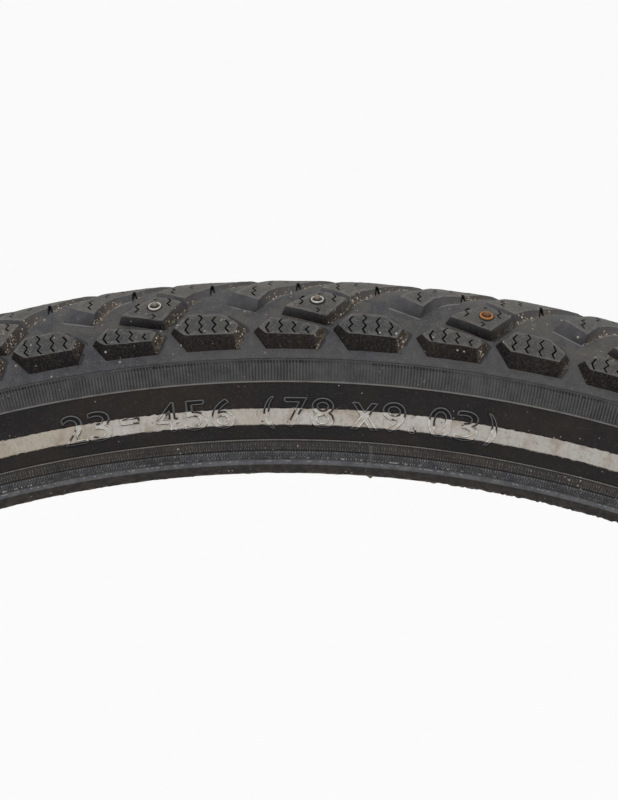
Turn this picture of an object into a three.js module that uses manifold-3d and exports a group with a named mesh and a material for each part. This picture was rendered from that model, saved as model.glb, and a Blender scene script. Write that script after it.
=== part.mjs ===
// Studded winter bicycle tire, 47-559 (26 x 1.75), wire bead, not mounted.
// Millimetres. Origin at the tire's centre, axle along +Y, top of the tire at +Z.
// Every ring is turned about the Y axis in SEGMENTS equal facets, one facet per tread pitch,
// so neighbouring layers keep a constant gap.
import * as THREE from 'three';
import { mergeVertices } from 'three/addons/utils/BufferGeometryUtils.js';
import Module from 'manifold-3d';

// ---------------------------------------------------------------- driving dimensions
const SEGMENTS = 50;            // tread pitches and turning facets round the tire
const PITCH = 2 * Math.PI / SEGMENTS;
const PHASE = 14 / 326.8;       // turning facets start between two studs of either row
const R_CENTRE = 306.7;         // radius of the tread section's centre
const R_ARC = 326.8;            // radius at which arc lengths of the tread pattern are measured
const TOP_RAD = 20.0;           // block tops: radial and axial half sizes of the section ellipse
const TOP_AX = 25.0;
const BASE_RAD = 17.2;          // groove floor: the same
const BASE_AX = 22.3;
const GAP = 0.06;               // between layers that lie on each other
const TREAD_T = 1.6;            // rubber under the groove floor
const BELT_T = 1.0;
const PLY_T = 0.36;
const SIDE_T = 0.75;            // sidewall rubber over the casing
const STRIP_T = 0.3;            // reflective strip
const CHAFER_T = 0.6;
const CORE = [284.2, 13.3];     // bead wire bundle: centre [radius, axial] and half width
const CORE_R = 1.2;
const STUD_R = 1.3;             // stud body, half width
const STUD_GAP = 0.3;           // pocket round the stud
const STUD_OUT = 1.0;           // stud tip above its block
const STUD_ARC = 2.4;           // stud's place along the pitch, mm of arc
const STUD_PHI = 0.6825;        // stud's place across the section, radians from the crown

// outer skin of one half section, [radius, axial distance from the middle], from toe to shoulder
const TOE = [279.5, 13.1];
const HEEL = [281.7, 16.1];
const CHAFER_TOP = [288.2, 17.9];
const STRIP_LOW = [291.8, 19.3];
const STRIP_HIGH = [296.0, 20.8];
const RIB_LOW = [302.3, 22.5];
const RIB_HIGH = [308.0, 23.0];
const SHOULDER = [310.4, 21.8];

// ---------------------------------------------------------------- helpers
const wasm = await Module();
wasm.setup();

// A point of the tread section: phi from the crown (positive on the -Y side), t = 0 floor, 1 block top.
function section(phi, t) {
  return [R_CENTRE + (BASE_RAD + (TOP_RAD - BASE_RAD) * t) * Math.cos(phi),
    (BASE_AX + (TOP_AX - BASE_AX) * t) * Math.sin(phi)];
}
function wrap(arc, phi, t) {
  const [r, y] = section(phi, t);
  const a = arc / R_ARC;
  return [r * Math.sin(a), -y, r * Math.cos(a)];
}

// Closed outline [radius, y] turned about Y.
function ring(outline) {
  let area = 0;
  for (let i = 0; i < outline.length; i++) {
    const [a, b] = outline[i], [c, d] = outline[(i + 1) % outline.length];
    area += a * d - c * b;
  }
  const pts = (area > 0 ? outline.slice() : outline.slice().reverse()).map(([r, y]) => new THREE.Vector2(r, y));
  pts.push(pts[0].clone());
  return weld(new THREE.LatheGeometry(pts, SEGMENTS, PHASE));
}
function weld(geometry) {
  const g = geometry;
  g.deleteAttribute('normal');
  g.deleteAttribute('uv');
  return mergeVertices(g, 1e-4);
}
function toSolid(geometry) {
  return new wasm.Manifold(new wasm.Mesh({
    numProp: 3,
    vertProperties: new Float32Array(geometry.attributes.position.array),
    triVerts: new Uint32Array(geometry.index.array),
  }));
}
function toGeometry(solid) {
  const m = solid.getMesh();
  const g = new THREE.BufferGeometry();
  const p = new Float32Array(m.numVert * 3);
  for (let i = 0; i < m.numVert; i++) for (let k = 0; k < 3; k++) p[3 * i + k] = m.vertProperties[m.numProp * i + k];
  g.setAttribute('position', new THREE.BufferAttribute(p, 3));
  g.setIndex(new THREE.BufferAttribute(new Uint32Array(m.triVerts), 1));
  return g;
}

// Offsets an open path to its left-hand side (towards the tire's inside) by distances d[i].
function offset(path, d) {
  return path.map((p, i) => {
    const a = path[Math.max(i - 1, 0)], b = path[Math.min(i + 1, path.length - 1)];
    const n1 = normal(a, p), n2 = normal(p, b);
    const n = i === 0 ? n2 : i === path.length - 1 ? n1 : [n1[0] + n2[0], n1[1] + n2[1]];
    const l = Math.hypot(n[0], n[1]);
    const ref = i === 0 ? n2 : n1;
    const c = (n[0] * ref[0] + n[1] * ref[1]) / l;
    const dist = (Array.isArray(d) ? d[i] : d) / Math.max(c, 0.5);
    return [p[0] + n[0] / l * dist, p[1] + n[1] / l * dist];
  });
}
function normal(a, b) {
  const l = Math.hypot(b[0] - a[0], b[1] - a[1]) || 1;
  return [(b[1] - a[1]) / l, -(b[0] - a[0]) / l];
}
const mirror = (path) => path.map(([r, y]) => [r, -y]);
// Path of one half section (bead to crown) carried over the crown to the other bead.
const both = (half) => [...mirror(half), ...half.slice().reverse()];
const band = (outer, inner) => [...outer, ...inner.slice().reverse()];

const material = (color, roughness, metalness = 0) => new THREE.MeshStandardMaterial({ color, roughness, metalness });
const RUBBER = () => material(0x232326, 0.72);
const group = new THREE.Group();
function add(name, geometry, mat) {
  const mesh = new THREE.Mesh(geometry, mat);
  mesh.name = name;
  group.add(mesh);
}

// ---------------------------------------------------------------- casing
// Depth below the groove floor, measured square to its ellipse.
const under = (depth, phis) => phis.map((phi) => {
  const [r, y] = section(phi, 0);
  const n = [Math.cos(phi) / BASE_RAD, Math.sin(phi) / BASE_AX];
  const l = Math.hypot(n[0], n[1]);
  return [r - n[0] / l * depth, y - n[1] / l * depth];
});
const CASE = TREAD_T + BELT_T + 2 * GAP;              // casing's outer face under the groove floor
const CROWN_PHI = [0.80, 0.26];
const SIDE = [[289.8, 17.7], [307.6, 21.7]];          // casing's outer face in the sidewall
// One half of a casing layer, level mm below the casing's outer face.
const layer = (level) => [...offset([...SIDE, under(CASE, CROWN_PHI)[0]], level).slice(0, 2), ...under(CASE + level, CROWN_PHI)];

// square round the bead core, grown by d: top inside, bottom inside, bottom outside, top outside
const square = (d) => [[CORE[0] + CORE_R + d, CORE[1] - CORE_R - d], [CORE[0] - CORE_R - d, CORE[1] - CORE_R - d],
  [CORE[0] - CORE_R - d, CORE[1] + CORE_R + d], [CORE[0] + CORE_R + d, CORE[1] + CORE_R + d]];

// inner ply: bead to bead, down the inside of each bead core, round it and up its outside
const wrapFace = square(0.15).reverse(), wrapBack = square(0.15 + PLY_T).reverse();
wrapBack[0][0] = wrapFace[0][0];
wrapBack[3] = [wrapBack[3][0] - 0.25, wrapBack[3][1]];
add('casing_inner_ply', ring(band(both([...wrapFace, ...layer(PLY_T + GAP)]), both([...wrapBack, ...layer(2 * PLY_T + GAP)]))),
  material(0x3a3733, 0.9));

// outer ply: over the inner ply, its edges stop above the bead cores
add('casing_outer_ply', ring(band(both(layer(0)), both(layer(PLY_T)))), material(0x45413c, 0.9));

// puncture belt between the casing and the tread
const BELT_PHI = [-0.56, -0.26, 0.26, 0.56];
add('puncture_belt', ring(band(under(TREAD_T + GAP, BELT_PHI), under(TREAD_T + GAP + BELT_T, BELT_PHI))), material(0x6b5a2f, 0.85));

// ---------------------------------------------------------------- pieces of each side
// left is the +Y side, right the -Y side
for (const side of ['left', 'right']) {
  const m = (outline) => (side === 'left' ? outline : mirror(outline));

  // bead core: bundle of steel wire windings
  add(`bead_wire_${side}`, ring(m(square(0))), material(0x9a9da0, 0.35, 1));

  // filler: rubber wedge on the core, between the plies
  add(`bead_filler_${side}`, ring(m([[CORE[0] + CORE_R + 0.35, CORE[1] - 0.6], [CORE[0] + CORE_R + 0.35, 16.35],
    [288.6, 17.1], [289.4, 16.98]])), material(0x1c1c1e, 0.8));

  // chafer: strip over the bead's outside, thick at the toe, turned up to the inside
  add(`chafer_${side}`, ring(m([TOE, HEEL, CHAFER_TOP, [288.36, 17.32], [282.2, 15.58], [282.2, 11.4], [280.9, 11.0]])),
    material(0x2a2a2c, 0.85));

  // sidewall rubber with the seat of the reflective strip
  const inset = offset([CHAFER_TOP, STRIP_LOW, STRIP_HIGH, RIB_HIGH], STRIP_T + GAP);
  add(`sidewall_${side}`, ring(m([[288.3, 17.96], [STRIP_LOW[0] - 0.12, STRIP_LOW[1] - 0.05], [inset[1][0] - 0.12, inset[1][1] - 0.04], [inset[2][0] + 0.12, inset[2][1] + 0.04],
    [STRIP_HIGH[0] + 0.12, STRIP_HIGH[1] + 0.03], [307.9, 22.99], [307.4, 21.72], [288.6, 17.5]])), RUBBER());

  // reflective strip, flush with the skin
  const strip = [STRIP_LOW, STRIP_HIGH];
  add(`reflective_strip_${side}`, ring(m(band(strip, offset(strip, STRIP_T)))), material(0xb4b0a8, 0.6));
}

// ---------------------------------------------------------------- tread
// The pattern is the same after half a turn about the radial line at arc MID.
const MID = -3.1;
// ring: smooth shoulder strip, shoulder rib, stud rib and centre rib outside; seats of belt and casing inside.
// The ribs have the block tops' true radius and width; the cuts that part them into blocks are surface detail.
const CENTRE_RIB = 0.47;
const STUD_RIB = [0.57, 0.86];
const SHOULDER_RIB = [0.96, 1.2];
const treadHalfOuter = [[308.15, 22.95], SHOULDER, section(SHOULDER_RIB[1], 1), section(SHOULDER_RIB[0], 1), section(0.91, 0),
  section(STUD_RIB[1], 1), section(STUD_RIB[0], 1), section(0.52, 0), section(CENTRE_RIB, 1), section(0.15, 1)];
const treadHalfInner = [[307.95, 21.52], ...under(CASE - GAP, [0.80]), ...under(TREAD_T, [0.80, 0.56, 0.26])];
const body = toSolid(ring(band(both(treadHalfOuter), both(treadHalfInner))));
function join(list) {
  while (list.length > 1) {
    const next = [];
    for (let i = 0; i < list.length; i += 2) next.push(i + 1 < list.length ? list[i].add(list[i + 1]) : list[i]);
    list = next;
  }
  return list[0];
}

// studs: body and pin in one, standing on a thin hoop under the tread that ties the row into one piece
function studPin(half, t0, t1, side, k) {
  const arc = side > 0 ? STUD_ARC : 2 * MID - STUD_ARC, phi = side * STUD_PHI;
  const a = new THREE.Vector3(...wrap(arc, phi, t0)), b = new THREE.Vector3(...wrap(arc, phi, t1));
  const up = b.clone().sub(a).normalize();
  const along = new THREE.Vector3(Math.cos(arc / R_ARC), 0, -Math.sin(arc / R_ARC));
  const g = new THREE.BoxGeometry(2 * half, 2 * half, a.distanceTo(b));
  g.applyMatrix4(new THREE.Matrix4().makeBasis(along, up.clone().cross(along), up).setPosition(a.add(b).multiplyScalar(0.5)));
  return toSolid(weld(g).rotateY(k * PITCH));
}
const pockets = [];
for (const [name, side] of [['studs_right', 1], ['studs_left', -1]]) {
  const hoopPhi = [0.59, 0.775].map((f) => -side * f);
  const row = [toSolid(ring(band(under(TREAD_T + GAP, hoopPhi), under(TREAD_T + BELT_T, hoopPhi))))];
  for (let k = 0; k < SEGMENTS; k++) {
    row.push(studPin(STUD_R, -0.95, 1 + STUD_OUT / (TOP_RAD - BASE_RAD), side, k));
    pockets.push(studPin(STUD_R + STUD_GAP, -1.0, 1.6, side, k));
  }
  add(name, toGeometry(join(row)), material(0xb9bcc0, 0.3, 1));
}
add('tread', toGeometry(body.subtract(join(pockets))), material(0x2b2b2f, 0.78));

export default group;
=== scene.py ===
"""Looks of the studded winter bicycle tire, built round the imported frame."""
import math

import bpy
import numpy as np
from mathutils import Matrix, Vector
from mathutils.geometry import delaunay_2d_cdt


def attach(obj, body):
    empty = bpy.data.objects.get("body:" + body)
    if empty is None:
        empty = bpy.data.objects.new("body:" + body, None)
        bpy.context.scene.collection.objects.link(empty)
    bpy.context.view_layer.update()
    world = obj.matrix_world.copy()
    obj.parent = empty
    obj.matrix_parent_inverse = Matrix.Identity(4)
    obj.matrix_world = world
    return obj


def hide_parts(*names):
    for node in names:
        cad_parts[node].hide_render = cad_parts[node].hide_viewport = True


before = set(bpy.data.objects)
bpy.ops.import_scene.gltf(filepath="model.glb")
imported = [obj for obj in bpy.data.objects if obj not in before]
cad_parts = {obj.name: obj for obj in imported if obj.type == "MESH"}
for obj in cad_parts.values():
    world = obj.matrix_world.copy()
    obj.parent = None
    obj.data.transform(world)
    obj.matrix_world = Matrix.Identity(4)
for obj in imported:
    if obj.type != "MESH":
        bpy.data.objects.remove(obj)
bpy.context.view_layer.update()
MM = 0.001

# ------------------------------------------------------------------ section and pattern dimensions, mm
R_CENTRE, R_ARC = 306.7, 326.8
TOP_RAD, TOP_AX = 20.0, 25.0
BASE_RAD, BASE_AX = 17.2, 22.3
PITCHES = 50
PITCH = 2 * math.pi / PITCHES
PITCH_ARC = PITCH * R_ARC
MID = -3.1                       # the tire is the same after half a turn about the radial line at this arc
TOE, HEEL = (279.5, 13.1), (281.7, 16.1)
CHAFER_TOP, STRIP_LOW, STRIP_HIGH = (288.2, 17.9), (291.8, 19.3), (296.0, 20.8)
RIB_LOW, RIB_HIGH, SHOULDER = (302.3, 22.5), (308.0, 23.0), (310.4, 21.8)
TREAD_T, BELT_T, PLY_T, GAP = 1.6, 1.0, 0.36, 0.06
CASE = TREAD_T + BELT_T + 2 * GAP
STUD_ARC, STUD_PHI = 2.4, 0.6825

rng = np.random.default_rng(559)


def smooth01(x):
    x = np.clip(x, 0.0, 1.0)
    return x * x * (3 - 2 * x)


def floor_t(phi):
    """Groove floor's height: the grooves are shallower at the crown."""
    return 0.66 * smooth01((0.80 - np.abs(phi)) / 0.45)


def wrap(arc, phi, t):
    """Tread coordinates to row coordinates, mm: arc along the tread, phi across it (positive on the -Y side),
    t from the groove floor (0) to the block tops (1)."""
    arc, phi, t = (np.asarray(v, float) for v in (arc, phi, t))
    r = R_CENTRE + (BASE_RAD + (TOP_RAD - BASE_RAD) * t) * np.cos(phi)
    y = -(BASE_AX + (TOP_AX - BASE_AX) * t) * np.sin(phi)
    a = arc / R_ARC
    return np.stack([r * np.sin(a), y, r * np.cos(a)], -1)


def ring_points(r, y, theta):
    return np.stack([r * np.sin(theta), y, r * np.cos(theta)], -1)


def half_turn(p):
    """The other side of the tire: half a turn about the radial line at MID."""
    a = MID / R_ARC
    u = np.array([math.sin(a), 0.0, math.cos(a)])
    return 2 * (p @ u)[:, None] * u - p


def waves(p, wavelength, seed, n=14):
    """Smooth noise of about unit size: a sum of seeded plane waves. p is N x 3, mm."""
    g = np.random.default_rng(seed)
    d = g.normal(size=(n, 3))
    d *= (2 * math.pi / wavelength) * g.uniform(0.6, 1.5, n)[:, None] / np.linalg.norm(d, axis=1)[:, None]
    ph = g.uniform(0, 2 * math.pi, n)
    out = np.zeros(len(p))
    for k in range(n):
        out += np.sin(p @ d[k] + ph[k])
    return out / math.sqrt(n / 2)


# ------------------------------------------------------------------ mesh building
class Part:
    """Collects vertices, faces and point attributes of one piece."""

    def __init__(self):
        self.v, self.q, self.t, self.a, self.n = [], [], [], {}, 0

    def add(self, verts, quads=None, tris=None, **attrs):
        verts = np.asarray(verts, float)
        self.v.append(verts)
        if quads is not None and len(quads):
            self.q.append(np.asarray(quads, np.int64) + self.n)
        if tris is not None and len(tris):
            self.t.append(np.asarray(tris, np.int64) + self.n)
        for k in set(self.a) | set(attrs):
            old = self.a.get(k)
            if old is None:
                old = self.a[k] = [np.zeros(self.n)] if self.n else []
            val = attrs.get(k, 0.0)
            old.append(np.broadcast_to(np.asarray(val, float), (len(verts),)).copy())
        self.n += len(verts)

    def build(self, name, material, slot, nodes, smooth=True, sharp_deg=None):
        v = np.concatenate(self.v) * MM
        q = np.concatenate(self.q) if self.q else np.zeros((0, 4), np.int64)
        t = np.concatenate(self.t) if self.t else np.zeros((0, 3), np.int64)
        me = bpy.data.meshes.new(name)
        me.vertices.add(len(v))
        me.vertices.foreach_set("co", v.astype(np.float32).ravel())
        loops = np.concatenate([q.ravel(), t.ravel()]).astype(np.int32)
        starts = np.concatenate([np.arange(len(q)) * 4, len(q) * 4 + np.arange(len(t)) * 3]).astype(np.int32)
        totals = np.concatenate([np.full(len(q), 4), np.full(len(t), 3)]).astype(np.int32)
        me.loops.add(len(loops))
        me.loops.foreach_set("vertex_index", loops)
        me.polygons.add(len(starts))
        me.polygons.foreach_set("loop_start", starts)
        me.polygons.foreach_set("loop_total", totals)
        me.update(calc_edges=True)
        me.validate(clean_customdata=False)
        for k, parts in self.a.items():
            attr = me.attributes.new(k, "FLOAT", "POINT")
            attr.data.foreach_set("value", np.concatenate(parts).astype(np.float32))
        me.polygons.foreach_set("use_smooth", np.full(len(me.polygons), smooth))
        if smooth and sharp_deg:
            me.set_sharp_from_angle(angle=math.radians(sharp_deg))
        me.materials.append(material)
        o = bpy.data.objects.new(name, me)
        bpy.context.scene.collection.objects.link(o)
        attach(o, "root")
        if nodes:
            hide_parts(*nodes)
        print("piece", name, len(me.polygons))
        return o


def turn(outline, segments, phase=0.0):
    """Closed outline (N x 2 of radius, y) turned about the axle. Returns vertices and quads, facing out."""
    outline = np.asarray(outline, float)
    r, y = outline[:, 0], outline[:, 1]
    if np.sum(r * np.roll(y, -1) - np.roll(r, -1) * y) < 0:
        outline = outline[::-1]
    n = len(outline)
    th = phase + np.arange(segments) * 2 * math.pi / segments
    v = ring_points(outline[None, :, 0], outline[None, :, 1] + 0 * th[:, None], th[:, None]).reshape(-1, 3)
    i = np.arange(segments)[:, None] * n
    j = ((np.arange(segments) + 1) % segments)[:, None] * n
    k = np.arange(n)[None, :]
    k2 = (k + 1) % n
    quads = np.stack([i + k, i + k2, j + k2, j + k], -1).reshape(-1, 4)
    return v, quads


def subdivide(path, step):
    """Adds points to an open path so no span is longer than step."""
    out = [path[0]]
    for a, b in zip(path[:-1], path[1:]):
        n = max(1, int(math.ceil(math.hypot(b[0] - a[0], b[1] - a[1]) / step)))
        for k in range(1, n + 1):
            out.append((a[0] + (b[0] - a[0]) * k / n, a[1] + (b[1] - a[1]) * k / n))
    return out


def rounded_path(path, passes=2, keep_ends=True):
    """Corner cutting on an open path."""
    p = [tuple(x) for x in path]
    for _ in range(passes):
        q = [p[0]]
        for a, b in zip(p[:-1], p[1:]):
            q.append((a[0] * 0.75 + b[0] * 0.25, a[1] * 0.75 + b[1] * 0.25))
            q.append((a[0] * 0.25 + b[0] * 0.75, a[1] * 0.25 + b[1] * 0.75))
        q.append(p[-1])
        p = q
    return p


def offset_path(path, d):
    """Moves an open path (bead to crown, +Y half) d mm towards the tire's inside."""
    p = np.asarray(path, float)
    t = np.gradient(p, axis=0)
    n = np.stack([t[:, 1], -t[:, 0]], -1)
    n /= np.linalg.norm(n, axis=1)[:, None]
    return p + n * np.asarray(d, float).reshape(-1, 1)


def under(depth, phis):
    phis = np.asarray(phis, float)
    r, y = R_CENTRE + BASE_RAD * np.cos(phis), BASE_AX * np.sin(phis)
    n = np.stack([np.cos(phis) / BASE_RAD, np.sin(phis) / BASE_AX], -1)
    n /= np.linalg.norm(n, axis=1)[:, None]
    return np.stack([r, y], -1) - n * depth


# ------------------------------------------------------------------ tread blocks, near half
S = 22.5                          # mm per radian, for measuring in the flat pattern


def flat(points):
    return np.array([[a, f * S] for a, f in points], float)


def trace(corners, radii, spans):
    """Outline points of a polygon with rounded corners. spans[i] is the number of steps on the edge after corner i."""
    c = np.asarray(corners, float)
    n = len(c)
    out = []
    for i in range(n):
        p, a, b = c[i], c[i - 1], c[(i + 1) % n]
        ua, ub = (a - p) / np.linalg.norm(a - p), (b - p) / np.linalg.norm(b - p)
        d = min(radii[i], 0.4 * np.linalg.norm(a - p), 0.4 * np.linalg.norm(b - p))
        s, e = p + ua * d, p + ub * d
        out += [s, 0.25 * s + 0.5 * p + 0.25 * e, e]
        q, qa = c[(i + 1) % n], p
        uq = (qa - q) / np.linalg.norm(qa - q)
        d2 = min(radii[(i + 1) % n], 0.4 * np.linalg.norm(qa - q), 0.4 * np.linalg.norm(c[(i + 2) % n] - q))
        nxt = q + uq * d2
        for k in range(1, spans[i]):
            out.append(e + (nxt - e) * k / spans[i])
    return np.array(out)


def inset(poly, d):
    """Moves a closed outline inwards by d (counter-clockwise outline)."""
    a = np.roll(poly, 1, 0)
    b = np.roll(poly, -1, 0)
    e1, e2 = poly - a, b - poly
    e1 /= np.linalg.norm(e1, axis=1)[:, None] + 1e-12
    e2 /= np.linalg.norm(e2, axis=1)[:, None] + 1e-12
    n1, n2 = np.stack([-e1[:, 1], e1[:, 0]], -1), np.stack([-e2[:, 1], e2[:, 0]], -1)
    m = n1 + n2
    m /= np.linalg.norm(m, axis=1)[:, None] + 1e-12
    c = np.clip(np.sum(m * n1, 1), 0.5, 1)
    return poly + m * (d / c)[:, None]


def inside(pts, poly):
    x, y = pts[:, 0], pts[:, 1]
    hit = np.zeros(len(pts), bool)
    for (x1, y1), (x2, y2) in zip(poly, np.roll(poly, -1, 0)):
        cross = (y1 > y) != (y2 > y)
        with np.errstate(divide="ignore", invalid="ignore"):
            xi = (x2 - x1) * (y - y1) / (y2 - y1) + x1
        hit ^= cross & (x < xi)
    return hit


def near_line(pts, poly, d):
    out = np.zeros(len(pts), bool)
    for p, q in zip(poly, np.roll(poly, -1, 0)):
        e = q - p
        k = np.clip(((pts - p) @ e) / max(e @ e, 1e-12), 0, 1)
        out |= np.linalg.norm(pts - (p + k[:, None] * e), axis=1) < d
    return out


def zigzag(arc, s0, s1, bends, amp=0.43, width=0.50, lean=0.0, first=1):
    """Sipe outline, counter-clockwise: a zigzag slot along s (mm, 20 mm per radian of phi)."""
    k = np.arange(bends + 1) / bends
    side = np.where(np.arange(bends + 1) % 2 == 0, 1, -1) * first
    cx = arc + side * amp + lean * (k - 0.5)
    cy = (s0 + (s1 - s0) * k) / 20.0 * S
    left, right = np.stack([cx - width / 2, cy], -1), np.stack([cx + width / 2, cy], -1)
    return left, right


def block(top, foot, spans, sipes=(), r_top=0.45, r_foot=0.9, bevel=0.2, t_top=1.0, grid=1.0, depth=0.62, skirt=None, slots=()):
    """One block in pattern coordinates (arc, phi, t), with its point attributes. top and foot are corner lists
    [arc, phi], counter-clockwise."""
    top, foot = flat(top), flat(foot)
    n = len(top)
    rt = r_top if np.ndim(r_top) else [r_top] * n
    rf = r_foot if np.ndim(r_foot) else [r_foot] * n
    ot, of = trace(top, rt, spans), trace(foot, rf, spans)
    rim = inset(ot, bevel)
    m = len(ot)
    e = np.roll(of, -1, 0) - np.roll(of, 1, 0)
    nor = np.stack([e[:, 1], -e[:, 0]], -1)
    nor /= np.linalg.norm(nor, axis=1)[:, None] + 1e-9
    to_plus, to_minus, to_front = smooth01((nor[:, 0] - 0.15) / 0.5), smooth01((-nor[:, 0] - 0.15) / 0.5), smooth01((nor[:, 1] - 0.6) / 0.3)
    zero = np.zeros(m)
    def on_floor(poly, lift):
        return floor_t(poly[:, 1] / S) + lift

    # three strips of rings, each ring an outline, its t, and its edge, wall and foot-dust strengths
    bevel_rows = [(rim, zero + t_top, 1.0, 0.0, 0.0), (inset(ot, bevel * 0.3), zero + 0.985 * t_top, 1.0, 0.0, 0.0),
                  (ot, zero + 0.93 * t_top, 0.5, 0.0, 0.0)]
    wall_rows = []
    for k, g in ((0.0, 0.0), (0.3, 0.0), (0.6, 0.05), (0.82, 0.35), (1.0, 1.0)):
        poly = ot + (of - ot) * k
        wall_rows.append((poly, 0.93 + (on_floor(poly, 0.0) - 0.93) * k, 0.0, 1.0, g))
    skirt = skirt or ((0.28, 0.016, 0.9, 0.0), (0.62, -0.035, 0.1, 0.0))
    skirt_rows = [(of, on_floor(of, 0.0), 0.0, 0.0, 1.0)]
    in_slot = np.zeros(m, bool)
    for a, b in slots:
        a, b = np.array([a[0], a[1] * S]), np.array([b[0], b[1] * S])
        u = np.clip(((of - a) @ (b - a)) / ((b - a) @ (b - a)), 0, 1)
        in_slot |= np.linalg.norm(of - (a + u[:, None] * (b - a)), axis=1) < 0.5
    for d, lift, g, _ in skirt:
        poly = np.where(in_slot[:, None], of, inset(of, -d))
        skirt_rows.append((poly, on_floor(poly, lift), 0.0, 0.0, g))
    # painted shadow strengths for the skirt rings, beside the walls that face +theta and -theta
    shade = np.concatenate([np.zeros(m * (len(bevel_rows) + len(wall_rows))), to_plus * (0.8 if skirt[0][3] else 0.0)]
                           + [to_plus * q[3] for q in skirt])
    painted_shade_minus_side = np.concatenate([np.zeros(m * (len(bevel_rows) + len(wall_rows))), to_minus * (0.8 if skirt[0][3] else 0.0)]
                             + [to_minus * q[3] for q in skirt])
    strips = [bevel_rows, wall_rows, skirt_rows]
    rows = [r for strip_rows in strips for r in strip_rows]
    verts = np.concatenate([np.stack([q[:, 0], q[:, 1] / S, tt], -1) for q, tt, _, _, _ in rows])
    att = {"edge": np.concatenate([zero + r[2] for r in rows]), "wall": np.concatenate([zero + r[3] for r in rows]),
           "plus": np.concatenate([to_plus * r[4] for r in rows]), "minus": np.concatenate([to_minus * r[4] for r in rows]),
           "dust_film_and_light_plus": np.concatenate([to_plus * r[3] for r in rows]), "dust_film_and_light_minus": np.concatenate([to_minus * r[3] for r in rows]),
           "painted_shade_plus": shade, "painted_shade_minus": painted_shade_minus_side,
           "front_foot_highlight": np.concatenate([to_front * (1.0 if r[4] >= 0.9 and r[3] == 0 else 0.0) for r in rows])}
    quads, at = [], 0
    i = np.arange(m)
    j = (i + 1) % m
    for strip_rows in strips:
        for k in range(len(strip_rows) - 1):
            quads.append(np.stack([at + k * m + i, at + (k + 1) * m + i, at + (k + 1) * m + j, at + k * m + j], -1))
        at += len(strip_rows) * m
    # top face with sipe holes
    holes = [np.concatenate([right, left[::-1]]) for left, right in sipes]
    ys = np.arange(rim[:, 1].min(), rim[:, 1].max(), grid)
    xs = np.arange(rim[:, 0].min(), rim[:, 0].max(), grid)
    gx, gy = np.meshgrid(xs, ys)
    gx = gx + (np.arange(len(ys)) % 2)[:, None] * grid / 2
    g = np.stack([gx.ravel(), gy.ravel()], -1)
    keep = inside(g, rim) & ~near_line(g, rim, grid * 0.45)
    for h in holes:
        keep &= ~inside(g, h) & ~near_line(g, h, grid * 0.35)
    g = g[keep]
    pts = [rim] + holes + [g]
    edges, off = [], 0
    for loop in [rim] + holes:
        k = len(loop)
        edges += [(off + i, off + (i + 1) % k) for i in range(k)]
        off += k
    allp = np.concatenate(pts)
    res = delaunay_2d_cdt([Vector(p) for p in allp], edges, [], 0, 1e-6)
    cv = np.array([[p.x, p.y] for p in res[0]])
    tri = np.array([f for f in res[2] if len(f) == 3])
    cen = cv[tri].mean(1)
    ok = inside(cen, rim)
    for h in holes:
        ok &= ~inside(cen, h)
    tri = tri[ok]
    p0, p1, p2 = cv[tri[:, 0]], cv[tri[:, 1]], cv[tri[:, 2]]
    area = (p1[:, 0] - p0[:, 0]) * (p2[:, 1] - p0[:, 1]) - (p1[:, 1] - p0[:, 1]) * (p2[:, 0] - p0[:, 0])
    tri[area < 0] = tri[area < 0][:, ::-1]
    top_v = np.stack([cv[:, 0], cv[:, 1] / S, np.full(len(cv), t_top)], -1)
    res_v, res_q, res_t = [verts, top_v], quads, [tri + len(verts)]
    rim_near = near_line(cv, rim, 0.02).astype(float)
    att["edge"] = np.concatenate([att["edge"], rim_near])
    slot = np.zeros(len(att["edge"]))
    flat_v = np.stack([verts[:, 0], verts[:, 1] * S], -1)
    for a, b in slots:
        a, b = np.array([a[0], a[1] * S]), np.array([b[0], b[1] * S])
        u = np.clip(((flat_v - a) @ (b - a)) / ((b - a) @ (b - a)), 0, 1)
        slot[:len(verts)] = np.maximum(slot[:len(verts)], np.linalg.norm(flat_v - (a + u[:, None] * (b - a)), axis=1) < 0.5)
    att["sipe"] = slot
    base = len(verts) + len(top_v)
    for left, right in sipes:
        k = len(left)
        loop = np.concatenate([right, left[::-1]])
        n2 = len(loop)
        up = np.stack([loop[:, 0], loop[:, 1] / S, np.full(n2, t_top)], -1)
        mid = np.stack([loop[:, 0], loop[:, 1] / S, np.full(n2, t_top - 0.07)], -1)
        mid[:, 0] += np.where(np.arange(n2) < k, -0.03, 0.03)
        down = np.stack([loop[:, 0], loop[:, 1] / S, np.full(n2, t_top - depth)], -1)
        down[:, 0] = mid[:, 0]
        res_v += [up, mid, down]
        i = np.arange(n2)
        j = (i + 1) % n2
        for lay in (0, 1):
            res_q.append(base + np.stack([lay * n2 + j, (lay + 1) * n2 + j, (lay + 1) * n2 + i, lay * n2 + i], -1))
        i = np.arange(k - 1)
        res_q.append(base + 2 * n2 + np.stack([i, i + 1, n2 - 2 - i, n2 - 1 - i], -1))
        base += 3 * n2
        att["edge"] = np.concatenate([att["edge"], np.full(n2, 0.5), np.zeros(2 * n2)])
        att["sipe"] = np.concatenate([att["sipe"], np.full(n2, 0.35), np.ones(2 * n2)])
    total = sum(len(x) for x in res_v)
    for key in att:
        att[key] = np.concatenate([att[key], np.zeros(total - len(att[key]))])
    return np.concatenate(res_v), np.concatenate(res_q), np.concatenate(res_t), att


def ccw(points, foot):
    """Makes both corner lists counter-clockwise in the flat pattern."""
    p = flat(points)
    area = np.sum(p[:, 0] * np.roll(p[:, 1], -1) - np.roll(p[:, 0], -1) * p[:, 1])
    return (points, foot) if area > 0 else (points[::-1], foot[::-1])


def edge_spans(points, step=1.4):
    p = flat(points)
    return [max(1, int(round(np.linalg.norm(b - a) / step))) for a, b in zip(p, np.roll(p, -1, 0))]


def make_block(top, foot, sipes=(), **kw):
    top, foot = ccw(top, foot)
    return block(top, foot, edge_spans(top), sipes, **kw)


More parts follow.
